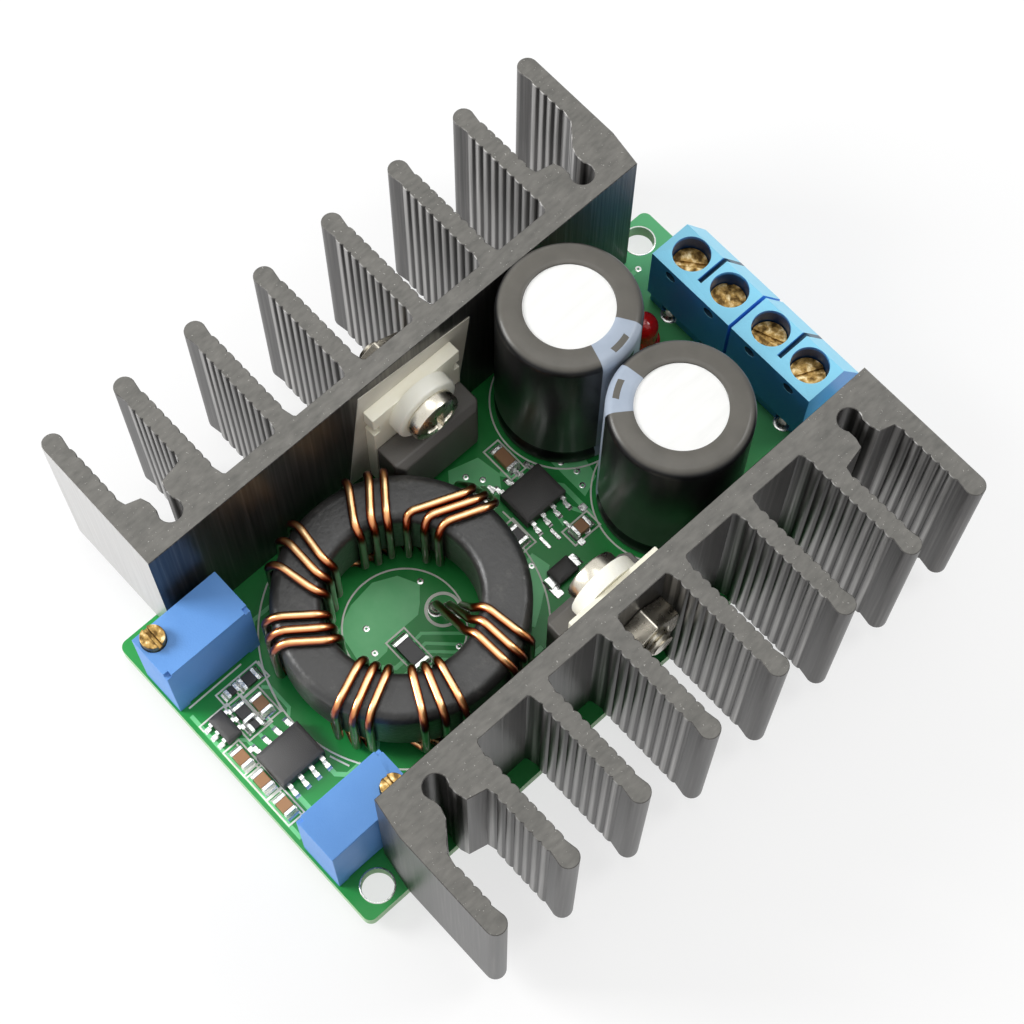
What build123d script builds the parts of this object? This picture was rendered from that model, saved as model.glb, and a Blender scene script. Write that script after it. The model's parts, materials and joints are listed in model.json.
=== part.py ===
from build123d import *

import os
from math import cos, hypot, radians, sin, sqrt

# A boost converter module: two extruded heatsinks stand on a green circuit board, with a
# transistor screwed to each, a ring core choke with a three-strand winding between them,
# two can capacitors, two screw terminal blocks and two trimming potentiometers.
# Lengths are in millimetres. While the pieces are made, X = 0 is midway between the inner
# faces of the heatsinks, Y = 0 is on the trimmers' side, level with the heatsinks' drawn end,
# and Z = 0 is the top face of the board. The last function moves them all to the module's
# own frame. Along Y each row of pieces takes its place from the row before it: the core, the
# transistors beside it, and past them the capacitors, the lamp and the terminal blocks.

# Clearances
CLEAR = 0.05            # between a piece and the hole or slot that takes it
LEAD_CLEAR = 0.08       # between a lead and the hole in the board
MATING_GAP = 0.10       # between neighbours that must not touch

# Circuit board
BOARD_LENGTH = 67.4
BOARD_WIDTH = 35.0
BOARD_THICKNESS = 1.6
BOARD_SHIFT = 0.4       # of the board's middle towards +X
BOARD_OVERHANG = 4.55   # of the board's near edge before Y = 0
BOARD_CORNER = 0.8
MOUNT_HOLE_RADIUS = 1.5
MOUNT_HOLE_INSET_X = 2.1
MOUNT_HOLE_INSET_Y = 2.8
TAIL = 1.2              # of each soldered lead below the board
HOLE_SIDES = 6          # flats of each lead hole

# Heatsinks
SINK_GAP = 28.2         # between the two inner faces
SINK_LENGTH = 58.0
SINK_HEIGHT = 19.5
SINK_DEPTH = 15.2
SINK_BASE = 2.0
FIN_SPACING = 8.0       # least pitch of the fins
FIN_TIP_RADIUS = 1.0
FIN_TIP_ANGLES = (-110, -66, -22, 22, 66, 110)   # corners of the rounded end, from its middle
FIN_ROOT = 2.1          # thickness of a fin where it leaves the base
FIN_CREST = 1.9         # thickness of a fin over its ripples
RIPPLE_PITCH = 1.05
RIPPLE_DEPTH = 0.24
SMOOTH_TIP = 2.35       # length of a fin's end without ripples
KEYHOLE_RADIUS = 1.12   # screw channel near each end of the extrusion
KEYHOLE_DEPTH = 2.6     # of its middle below the inner face
KEYHOLE_OFFSET = 0.45   # of the far one from the middle of its gap
THROAT = 1.7            # width of the channel's narrow mouth
THROAT_DEPTH = 4.3
LIP_DEPTH = 5.15
LIP_SPREAD = 2.3
LIP_CORNER = 5.6
FLANK_DEPTH = 7.3
END_RELIEF = 0.6        # bevel at the inner corner of the end fin
END_RELIEF_LENGTH = 3.8

# Power transistors and what clamps them
FILM_THICKNESS = 0.1
FILM_WIDTH = 13.3
FILM_HEIGHT = 16.6
FILM_TILTS = (7.5, -3.0)  # of the left and the right film
TAB_THICKNESS = 1.3
TAB_WIDTH = 10.4
TAB_TOP = 15.1
TAB_BOTTOM = 0.9
TAB_NOTCH = 1.2
TAB_NOTCH_DEPTH = 0.7
TAB_NOTCH_TOP = 13.1
TAB_HOLE_RADIUS = 1.9
SCREW_HEIGHT = 12.35
CASE_WIDTH = 10.2
CASE_THICKNESS = 3.2
CASE_BOTTOM = 0.3
CASE_TOP = 8.9
CASE_BEVEL = 0.7
LEAD_PITCH = 2.54
LEAD_WIDTH = 1.2
LEAD_THICKNESS = 0.5
LEAD_SET = 2.6          # of the leads' middle from the tab's back
LEAD_ROOT = 2.0         # height at which the outer leads end in the case
BUSH_FLANGE_RADIUS = 3.4
BUSH_FLANGE = 1.5
BUSH_RADIUS = 1.8
SCREW_RADIUS = 1.45
SCREW_HEAD_RADIUS = 2.6
SCREW_HEAD = 1.8
SCREW_HEAD_CROWN = 0.6
RECESS_WIDTH = 0.6
RECESS_LENGTH = 2.8
RECESS_DEPTH = 1.0
SCREW_TIP = 0.9         # of the screw past its nut
NUT_ACROSS = 5.5
NUT_THICKNESS = 2.3

# Ring core choke
CORE_X = -0.6
CORE_Y = 16.1
CORE_OUTER = 11.8
CORE_INNER = 7.1
CORE_BOTTOM = 1.7
CORE_HEIGHT = 7.55
CORE_BEVEL = 1.1
CORNER_CUT = 0.65       # share of a rounded corner that a strand cuts off
END_RISE = 1.6          # height at which the strands' ends straighten over their slot
WIRE_RADIUS = 0.42
WIRE_SIDES = 6
WIRE_CLEAR = 0.06
UNDER_DROP = 0.72       # of the middle strand below the two others, under the core
# Share of the way outward and round at each bend of a run beneath the core
UNDER_BENDS = ((0.15, 0.05), (0.5, 0.5))
# Each turn's angle where it leaves the core's outside and where it enters the hole, by strand
STRAND_TURNS = (
    ((106, 134), (163, 171), (214, 226), (252, 263), (305, 309), (346, 346), (388, 398)),
    ((100, 120), (153, 159), (202, 214), (246, 253), (298, 299), (337, 336), (380, 388)),
    ((94, 108), (146, 148), (193, 203), (239, 243), (290, 289), (328, 326), (373, 378)),
)
END_PITCH = 1.2
CASE_CLEAR = 0.0343     # from the core to the corner of the left transistor's case
START_SLOT_X = -5.8     # from the core's axis
START_SLOT_OUT = 1.7    # past the core's outside
FINISH_SLOT_X = 1.5
FINISH_SLOT_IN = 2.9    # in from the hole's edge
# Soldered ends outside and inside the ring: x, y and turn
START_SLOT = (CORE_X + START_SLOT_X, CORE_Y + CORE_OUTER + START_SLOT_OUT, 37.0)
FINISH_SLOT = (CORE_X + FINISH_SLOT_X, CORE_Y + CORE_INNER - FINISH_SLOT_IN, 43.0)

# The transistors' line across the board, where the core just clears the left case
SINK_FACE = SINK_GAP / 2
TAB_BACK = SINK_FACE - FILM_THICKNESS
TAB_FRONT = TAB_BACK - TAB_THICKNESS
CORNER_X = TAB_FRONT - CASE_THICKNESS + CORE_X
CORNER_Y = sqrt((CORE_OUTER + CASE_CLEAR) ** 2 - CORNER_X**2)
MIDDLE_Y = CORE_Y + CORNER_Y + CASE_WIDTH / 2

# Can capacitors, each sealed in its shrunk sleeve
CAN_RADIUS = 6.65
CAN_HEIGHT = 20.5
CAN_SHOULDER = 0.6
CAN_TOP_RADIUS = 4.2    # of the bare disc inside the sleeve's edge
SLEEVE_THICKNESS = 0.15
CAN_LEAD_RADIUS = 0.35
CAN_LEAD_PITCH = 5.0
LEFT_CAN_X = -7.44
LEFT_CAN_Y = 13.65      # past the transistors' line, as all such values below
RIGHT_CAN_X = 6.17
RIGHT_CAN_Y = 14.21
CAPACITORS = (
    (LEFT_CAN_X, MIDDLE_Y + LEFT_CAN_Y, 0.0), (RIGHT_CAN_X, MIDDLE_Y + RIGHT_CAN_Y, 30.0),
)

# Screw terminal blocks
BLOCK_X = (-4.57, 5.94)
BLOCK_WIDTH = 10.16
BLOCK_LINE = 26.8       # of the blocks' back past the transistors' line
BLOCK_BACK = MIDDLE_Y + BLOCK_LINE
BLOCK_DEPTH = 7.6
BLOCK_HEIGHT = 10.3
BLOCK_TOP_DEPTH = 4.6
BLOCK_NOSE = 8.3
BLOCK_UNDERCUT = 0.6
BLOCK_UNDERCUT_HEIGHT = 2.6
POLE_PITCH = 5.08
WELL_SET = 2.7          # of each screw's axis from the block's back
WELL_RADIUS = 1.85
HEAD_SEAT = 7.6
CHAMBER_FLOOR = 0.8
CHAMBER_TOP = 7.0
CHAMBER_BACK = 1.1
CHAMBER_DEPTH = 4.3
CHAMBER_WIDTH = 3.7
ENTRY_WIDTH = 3.1
ENTRY_BOTTOM = 1.3
ENTRY_TOP = 5.2
RIB_SLOT = 0.5
RIB_SLOT_DEPTH = 1.2
RIB_SLOT_BACK = 1.2
DIMPLE_RADIUS = 0.65
DIMPLE_HEIGHT = 9.1
DIMPLE_DEPTH = 0.6
CAGE_WALL = 0.5
CAGE_ROOF = 0.9
CAGE_HEIGHT = 4.05
CAGE_DEPTH = 4.05
CONTACT_UNDERSIDE = 3.45
CONTACT_THICKNESS = 0.4
CONTACT_LENGTH = 3.7
CONTACT_WIDTH = 1.7
CONTACT_PIN_WIDTH = 0.9
CLAMP_SHANK_RADIUS = 1.1
CLAMP_HEAD_RADIUS = 1.75
CLAMP_HEAD = 1.2
CLAMP_SLOT = 0.5
CLAMP_SLOT_DEPTH = 0.6
CLAMP_TURN = (38.0, -52.0, 20.0, 65.0)

# Trimming potentiometers
TRIMMERS = ((-10.77, 0.43, 0.0), (11.2, 0.46, 180.0))
TRIMMER_LENGTH = 9.53
TRIMMER_WIDTH = 4.83
TRIMMER_HEIGHT = 10.03
TRIMMER_FOOT = 0.4
TRIMMER_FOOT_LENGTH = 1.2
TRIMMER_NOTCH = 0.5
TRIMMER_SCREW_X = -1.15
TRIMMER_SCREW_Y = -3.3
TRIMMER_SCREW_RADIUS = 1.15
TRIMMER_SCREW_RISE = 0.9
TRIMMER_SCREW_SEAT = 0.4
TRIMMER_SHANK_RADIUS = 0.7
TRIMMER_SHANK_LENGTH = 5.0
TRIMMER_SLOT = 0.4
TRIMMER_SLOT_DEPTH = 0.5
TRIMMER_PIN_RADIUS = 0.3

# Indicator lamp
LAMP_X = -6.8
LAMP_LINE = 23.4
LAMP_Y = MIDDLE_Y + LAMP_LINE
LAMP_RADIUS = 1.5
LAMP_FLANGE_RADIUS = 1.8
LAMP_FLANGE = 0.8
LAMP_HEIGHT = 5.2
LAMP_STANDOFF = 0.4
LAMP_LEAD_RADIUS = 0.28

# Surface-mounted pieces, with their middle on the board
MIDDLE_CHIP_LINE = 4.6
CHIPS = {"near_chip": (1.75, 0.27), "middle_chip": (-2.0, MIDDLE_Y + MIDDLE_CHIP_LINE)}
CHIP_WIDTH = 3.9
CHIP_LENGTH = 4.9
CHIP_HEIGHT = 1.6
CHIP_STANDOFF = 0.15
CHIP_BEVEL = 0.35
GULL_PITCH = 1.27
GULL_COUNT = 4
GULL_WIDTH = 0.42
GULL_THICKNESS = 0.2
GULL_SPAN = 6.0
GULL_SHOULDER = 0.85
GULL_FOOT_SHARE = 0.6   # of a lead's reach past its case
SMALL_CHIP_X = -4.35
SMALL_CHIP_Y = -2.35
SMALL_CHIP_WIDTH = 1.6
SMALL_CHIP_LENGTH = 2.9
SMALL_CHIP_HEIGHT = 1.1
SMALL_GULL_PITCH = 0.95
SMALL_GULL_COUNT = 3
SMALL_GULL_SPAN = 2.8
DIODE_X = 5.4
DIODE_LINE = 1.55
DIODE_Y = MIDDLE_Y + DIODE_LINE
DIODE_WIDTH = 1.8
DIODE_LENGTH = 2.5
DIODE_HEIGHT = 1.1
DIODE_TAB_WIDTH = 1.0
DIODE_TAB_LENGTH = 0.6
RESISTORS = (            # x, y, length, width, turn
    (-6.45, 2.22, 1.9, 1.2, 90), (-4.35, -0.20, 1.9, 1.2, 0), (-2.75, -0.15, 1.4, 0.8, 90),
    (-6.65, 0.35, 1.4, 0.8, 90), (-0.18, MIDDLE_Y + 0.9, 1.9, 1.2, 0),
    (CORE_X + 2.24, CORE_Y - 1.18, 3.2, 1.6, 0),
)
RESISTOR_HEIGHT = 0.5
CERAMIC_CAPACITORS = (   # x, y, length, width, turn
    (-3.84, 1.50, 1.9, 1.2, 0), (-1.15, -3.10, 1.9, 1.2, 0), (1.72, -3.08, 1.9, 1.2, 0),
    (4.80, -3.10, 1.9, 1.2, 0), (-6.69, MIDDLE_Y + 5.3, 2.6, 1.2, 0),
    (3.3, MIDDLE_Y + 5.9, 1.9, 1.2, 90),
)
CERAMIC_HEIGHT = 0.8
CHIP_END = 0.4           # length of each metal end

# Places worked out from the sizes above
SINK_NEAR = MIDDLE_Y - SINK_LENGTH / 2
FIN_SPAN = SINK_LENGTH - 2 * FIN_TIP_RADIUS
# An odd number of gaps between fins, so that the nut has the middle one
FIN_GAPS = 2 * int((FIN_SPAN / FIN_SPACING - 1) / 2 + 1e-6) + 1
FIN_COUNT = FIN_GAPS + 1
FIN_PITCH = FIN_SPAN / FIN_GAPS
BOARD_LEFT = BOARD_SHIFT - BOARD_WIDTH / 2
BOARD_RIGHT = BOARD_SHIFT + BOARD_WIDTH / 2
BOARD_NEAR = -BOARD_OVERHANG
BOARD_FAR = BOARD_LENGTH - BOARD_OVERHANG
TAIL_END = -BOARD_THICKNESS - TAIL
BLOCK_FRONT = BLOCK_BACK + BLOCK_DEPTH
WELL_Y = BLOCK_BACK + WELL_SET
SHIFT_Y = -(BOARD_NEAR + max(BOARD_FAR, BLOCK_FRONT)) / 2
SHIFT_Z = -TAIL_END
CHAMBER_Y = BLOCK_BACK + CHAMBER_BACK
PIN_Y = CHAMBER_Y - CONTACT_THICKNESS / 2
LEAD_X = TAB_BACK - LEAD_SET


def block(x_low, x_high, y_low, y_high, z_low, z_high):
    """A box between two corners."""
    middle = Pos((x_low + x_high) / 2, (y_low + y_high) / 2, (z_low + z_high) / 2)
    return middle * Box(x_high - x_low, y_high - y_low, z_high - z_low)


def rod(x, y, radius, z_low, z_high):
    """A round upright rod."""
    return Pos(x, y, (z_low + z_high) / 2) * Cylinder(radius, z_high - z_low)


def faceted_rod(x, y, radius, z_low, z_high, sides=8):
    """An upright rod with flat sides, inside a circle of this radius."""
    return extrude(Pos(x, y, z_low) * RegularPolygon(radius, sides), z_high - z_low)


def faceted_bore(x, y, radius, z_low, z_high, sides=8):
    """The tool for an upright hole with flat sides, which clears a rod of this radius."""
    outline = Pos(x, y, z_low) * RegularPolygon(radius, sides, major_radius=False)
    return extrude(outline, z_high - z_low)


def turned(profile):
    """The solid that a closed outline in radius and height sweeps about the upright axis."""
    face = make_face(Plane.XZ * Polyline(*profile, close=True))
    return revolve(face, Axis.Z, 360)


def half_turn(piece):
    """The piece turned half a turn about the upright axis midway along the heatsinks."""
    return Pos(0, MIDDLE_Y) * Rot(0, 0, 180) * Pos(0, -MIDDLE_Y) * piece


def fin_side(fin, side, start):
    """The rippled side of one fin from a depth to the tip: valley and crest points in turn."""
    middle = FIN_TIP_RADIUS + fin * FIN_PITCH
    crest = FIN_CREST / 2
    valley = crest - RIPPLE_DEPTH
    last = SINK_DEPTH - SMOOTH_TIP
    count = int((last - start) / RIPPLE_PITCH + 1e-6)
    points = []
    for ripple in range(count, 0, -1):
        depth = last - ripple * RIPPLE_PITCH
        points.append((depth, middle + side * valley))
        points.append((depth + RIPPLE_PITCH / 2, middle + side * crest))
    points.append((last, middle + side * valley))
    return points


def fin_tip(fin):
    """The corners of the rounded end of one fin."""
    middle = FIN_TIP_RADIUS + fin * FIN_PITCH
    centre = SINK_DEPTH - FIN_TIP_RADIUS
    corners = []
    for angle in FIN_TIP_ANGLES:
        depth = centre + FIN_TIP_RADIUS * cos(radians(angle))
        length = middle + FIN_TIP_RADIUS * sin(radians(angle))
        corners.append((depth, min(max(length, 0), SINK_LENGTH)))
    return corners


def keyhole(centre, near_wall, far_wall, flanked):
    """The edge of a screw channel from the side of the fin before it to the fin after it."""
    lip = LIP_SPREAD / 2
    neck = THROAT / 2
    grip = sqrt(KEYHOLE_RADIUS**2 - neck**2)
    first = [(LIP_CORNER, near_wall), (LIP_DEPTH, centre - lip)]
    if flanked:
        first = [(FLANK_DEPTH, near_wall), (LIP_DEPTH, centre - lip)]
    before = first + [(THROAT_DEPTH, centre - neck), (KEYHOLE_DEPTH + grip, centre - neck)]
    after = [
        (KEYHOLE_DEPTH + grip, centre + neck),
        (THROAT_DEPTH, centre + neck),
        (LIP_DEPTH, centre + lip),
        (LIP_CORNER, far_wall),
    ]
    bottom = (KEYHOLE_DEPTH - KEYHOLE_RADIUS, centre)
    return before, bottom, after


def heatsink_outline():
    """The extrusion's section, with depth from the inner face along X and length along Y."""
    edges = []
    run = [(0, SINK_LENGTH), (0, END_RELIEF), (END_RELIEF_LENGTH, 0)]
    half_ripple = RIPPLE_PITCH / 2
    for fin in range(FIN_COUNT):
        tip = fin_tip(fin)
        if fin == 0:
            tip[0] = (SINK_DEPTH - FIN_TIP_RADIUS, 0)
        else:
            beside_keyhole = fin in (1, FIN_COUNT - 1)
            root = LIP_CORNER if beside_keyhole else SINK_BASE
            run += fin_side(fin, -1, root + half_ripple)
        if fin == FIN_COUNT - 1:
            tip[-1] = (SINK_DEPTH - FIN_TIP_RADIUS, SINK_LENGTH)
            run += tip
            break
        run += tip
        near_wall = FIN_TIP_RADIUS + fin * FIN_PITCH + FIN_ROOT / 2
        far_wall = near_wall + FIN_PITCH - FIN_ROOT
        if fin in (0, FIN_COUNT - 2):
            flanked = fin == 0
            centre = (near_wall + far_wall) / 2 + (0 if flanked else KEYHOLE_OFFSET)
            before, bottom, after = keyhole(centre, near_wall, far_wall, flanked)
            root = FLANK_DEPTH if flanked else LIP_CORNER
            run += fin_side(fin, 1, root + half_ripple)[::-1] + before
            edges += Polyline(*run).edges()
            edges += ThreePointArc(before[-1], bottom, after[0]).edges()
            run = after
        else:
            run += fin_side(fin, 1, SINK_BASE + half_ripple)[::-1]
            run += [(SINK_BASE, near_wall), (SINK_BASE, far_wall)]
    run.append((0, SINK_LENGTH))
    edges += Polyline(*run).edges()
    return make_face(edges)


def heatsink():
    """The right-hand heatsink, drilled for the transistor's screw."""
    bar = Pos(SINK_FACE, SINK_NEAR, 0) * extrude(heatsink_outline(), SINK_HEIGHT)
    hole = SCREW_RADIUS + CLEAR + MATING_GAP
    return bar - bore_across(hole, SINK_FACE - 1, SINK_FACE + SINK_BASE + 1)


def across(radius, x_low, x_high):
    """A round rod along X on the axis of the transistor's screw."""
    return Pos((x_low + x_high) / 2, MIDDLE_Y, SCREW_HEIGHT) * Rot(0, 90, 0) * Cylinder(radius, x_high - x_low)


def faceted_across(radius, x_low, x_high, sides=10):
    """A flat-sided rod on the screw's axis, inside a circle of this radius."""
    outline = RegularPolygon(radius, sides)
    return Pos(x_low, MIDDLE_Y, SCREW_HEIGHT) * Rot(0, 90, 0) * extrude(outline, x_high - x_low)


def bore_across(radius, x_low, x_high, sides=10):
    """The tool for a flat-sided hole on the screw's axis, which clears a rod of this radius."""
    outline = RegularPolygon(radius, sides, major_radius=False)
    return Pos(x_low, MIDDLE_Y, SCREW_HEIGHT) * Rot(0, 90, 0) * extrude(outline, x_high - x_low)


def insulating_film(tilt):
    """The thin sheet between tab and heatsink, a little askew, with one corner on the board."""
    sheet = block(0, FILM_THICKNESS, -FILM_WIDTH / 2, FILM_WIDTH / 2, -FILM_HEIGHT / 2, FILM_HEIGHT / 2)
    slant = radians(abs(tilt))
    lift = (FILM_WIDTH * sin(slant) + FILM_HEIGHT * cos(slant)) / 2 + MATING_GAP
    placed = Pos(TAB_BACK, MIDDLE_Y, lift) * Rot(tilt, 0, 0) * sheet
    return placed - bore_across(TAB_HOLE_RADIUS, TAB_BACK - 1, SINK_FACE + 1)


def transistor_leads():
    """The left and right leads, straight down from inside the case."""
    leads = []
    for side in (-1, 1):
        y = MIDDLE_Y + side * LEAD_PITCH
        leads.append(
            block(
                LEAD_X - LEAD_THICKNESS / 2, LEAD_X + LEAD_THICKNESS / 2,
                y - LEAD_WIDTH / 2, y + LEAD_WIDTH / 2, TAIL_END, LEAD_ROOT,
            )
        )
    return leads


def transistor_tab():
    """The metal tab with the middle lead that is stamped from the same sheet."""
    half = TAB_WIDTH / 2
    tab = block(TAB_FRONT, TAB_BACK, MIDDLE_Y - half, MIDDLE_Y + half, TAB_BOTTOM, TAB_TOP)
    for side in (-1, 1):
        edge = MIDDLE_Y + side * half
        notch_low = TAB_NOTCH_TOP - TAB_NOTCH
        tab -= block(
            TAB_FRONT - 1, TAB_BACK + 1, edge - TAB_NOTCH_DEPTH, edge + TAB_NOTCH_DEPTH,
            notch_low, TAB_NOTCH_TOP,
        )
    tab -= bore_across(TAB_HOLE_RADIUS, TAB_FRONT - 1, TAB_BACK + 1)
    y_low = MIDDLE_Y - LEAD_WIDTH / 2
    y_high = MIDDLE_Y + LEAD_WIDTH / 2
    back = LEAD_X - LEAD_THICKNESS / 2
    tab += block(back, TAB_FRONT, y_low, y_high, LEAD_ROOT - LEAD_THICKNESS, LEAD_ROOT)
    tab += block(back, back + LEAD_THICKNESS, y_low, y_high, TAIL_END, LEAD_ROOT)
    return tab


def transistor_case():
    """The moulded case in front of the tab."""
    half = CASE_WIDTH / 2
    front = TAB_FRONT - CASE_THICKNESS
    case = block(front, TAB_FRONT, MIDDLE_Y - half, MIDDLE_Y + half, CASE_BOTTOM, CASE_TOP)
    case = chamfer(case.faces().sort_by(Axis.X)[0].edges(), CASE_BEVEL)
    for lead in transistor_leads():
        case -= lead
    return case - transistor_tab()


def insulating_bush():
    """The shouldered bush that keeps the screw off the tab."""
    front = TAB_FRONT - BUSH_FLANGE
    flange = across(BUSH_FLANGE_RADIUS, front, TAB_FRONT)
    tube = faceted_across(BUSH_RADIUS, TAB_FRONT, TAB_BACK)
    return flange + tube - bore_across(SCREW_RADIUS + CLEAR, front - 1, TAB_BACK + 1)


def clamping_screw():
    """A pan head screw with a cross recess, lying along X."""
    seat = TAB_FRONT - BUSH_FLANGE
    front = seat - SCREW_HEAD
    end = SINK_FACE + SINK_BASE + NUT_THICKNESS + SCREW_TIP
    head = across(SCREW_HEAD_RADIUS, front, seat)
    head = chamfer(head.edges().sort_by(Axis.X)[0], SCREW_HEAD_CROWN)
    screw = head + faceted_across(SCREW_RADIUS, seat, end)
    long, wide = RECESS_LENGTH / 2, RECESS_WIDTH / 2
    bottom = front + RECESS_DEPTH
    for half_y, half_z in ((long, wide), (wide, long)):
        screw -= block(
            front - 1, bottom, MIDDLE_Y - half_y, MIDDLE_Y + half_y,
            SCREW_HEIGHT - half_z, SCREW_HEIGHT + half_z,
        )
    return screw


def clamping_nut():
    """The hexagon nut between two fins, with its flats facing them."""
    inner = SINK_FACE + SINK_BASE
    outline = RegularPolygon(NUT_ACROSS / 2, 6, major_radius=False)
    nut = Pos(inner, MIDDLE_Y, SCREW_HEIGHT) * Rot(0, 90, 0) * extrude(outline, NUT_THICKNESS)
    return nut - bore_across(SCREW_RADIUS + CLEAR, inner - 1, inner + NUT_THICKNESS + 1)


def choke_core():
    """The coated ring core with bevelled upper edges."""
    top = CORE_BOTTOM + CORE_HEIGHT
    profile = [
        (CORE_INNER, CORE_BOTTOM), (CORE_OUTER, CORE_BOTTOM),
        (CORE_OUTER, top - CORE_BEVEL), (CORE_OUTER - CORE_BEVEL, top),
        (CORE_INNER + CORE_BEVEL, top), (CORE_INNER, top - CORE_BEVEL),
    ]
    return Pos(CORE_X, CORE_Y) * turned(profile)


def around_core(radius, angle, z):
    """A point beside the core, given by its distance and angle from the core's axis."""
    turn = radians(angle)
    return Vector(CORE_X + radius * cos(turn), CORE_Y + radius * sin(turn), z)


def slot_point(slot, strand, z):
    """Where one strand passes a soldered slot."""
    x, y, turn = slot
    along = (1 - strand) * END_PITCH if slot is FINISH_SLOT else (strand - 1) * END_PITCH
    return Vector(x + along * cos(radians(turn)), y + along * sin(radians(turn)), z)


def strand_path(strand):
    """The corners of one strand: over the core, down through the hole and out beneath."""
    reach = WIRE_RADIUS + WIRE_CLEAR
    outside = CORE_OUTER + reach
    inside = CORE_INNER - reach
    over = CORE_BOTTOM + CORE_HEIGHT + reach
    under = CORE_BOTTOM - reach - (UNDER_DROP if strand == 1 else 0)
    cut = (CORE_BEVEL + reach) * CORNER_CUT
    turns = STRAND_TURNS[strand]
    points = [slot_point(START_SLOT, strand, TAIL_END), slot_point(START_SLOT, strand, END_RISE)]
    for number, (outer, inner) in enumerate(turns):
        if number:
            before = turns[number - 1][1]
            for outward, onward in ((0, 0), *UNDER_BENDS, (1, 1)):
                radius = inside + (outside - inside) * outward
                points.append(around_core(radius, before + (outer - before) * onward, under))
        points += [
            around_core(outside, outer, over - cut), around_core(outside - cut, outer, over),
            around_core(inside + cut, inner, over), around_core(inside, inner, over - cut),
        ]
    points += [slot_point(FINISH_SLOT, strand, END_RISE), slot_point(FINISH_SLOT, strand, TAIL_END)]
    return points


def strand_rings(points):
    """The six-sided section at each corner of a path, on the plane that halves the bend."""
    runs = [(after - before).normalized() for before, after in zip(points, points[1:])]
    side = Vector(1, 0, 0)
    rings = []
    for point, forward, onward in zip(points, [runs[0]] + runs, runs + [runs[-1]]):
        mitre = (forward + onward).normalized()
        other = forward.cross(side)
        ring = []
        for corner in range(WIRE_SIDES):
            turn = radians(360 / WIRE_SIDES * corner)
            spoke = side * (WIRE_RADIUS * cos(turn)) + other * (WIRE_RADIUS * sin(turn))
            ring.append(point + spoke - forward * (spoke.dot(mitre) / forward.dot(mitre)))
        rings.append(ring)
        side = side - mitre * (2 * side.dot(mitre))
    return rings


def flat_face(corners):
    """A flat face with straight edges between these corners."""
    return Face(Wire(Polyline(*corners, close=True).edges()))


def choke_strand(strand):
    """One enamelled strand, closed from flat faces between the rings along its path."""
    rings = strand_rings(strand_path(strand))
    faces = [flat_face(rings[0]), flat_face(rings[-1])]
    for ring, following in zip(rings, rings[1:]):
        for corner in range(WIRE_SIDES):
            before = corner - 1
            faces.append(
                flat_face([ring[before], ring[corner], following[corner], following[before]])
            )
    return Solid(Shell(faces))


def capacitor_body():
    """The sealed can in its sleeve, whose edge leaves a bare disc on top."""
    disc = CAN_HEIGHT - SLEEVE_THICKNESS
    return turned([
        (0, 0), (CAN_RADIUS, 0), (CAN_RADIUS, CAN_HEIGHT - CAN_SHOULDER),
        (CAN_RADIUS - CAN_SHOULDER, CAN_HEIGHT), (CAN_TOP_RADIUS, CAN_HEIGHT),
        (CAN_TOP_RADIUS, disc), (0, disc),
    ])


def capacitor_leads():
    """The two leads, from the bung down through the board."""
    offset = CAN_LEAD_PITCH / 2
    return [faceted_rod(side * offset, 0, CAN_LEAD_RADIUS, TAIL_END, 0) for side in (-1, 1)]


def terminal_poles(block_number):
    """The X of each screw in one terminal block."""
    middle = BLOCK_X[block_number]
    return [middle - POLE_PITCH / 2, middle + POLE_PITCH / 2]


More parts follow.
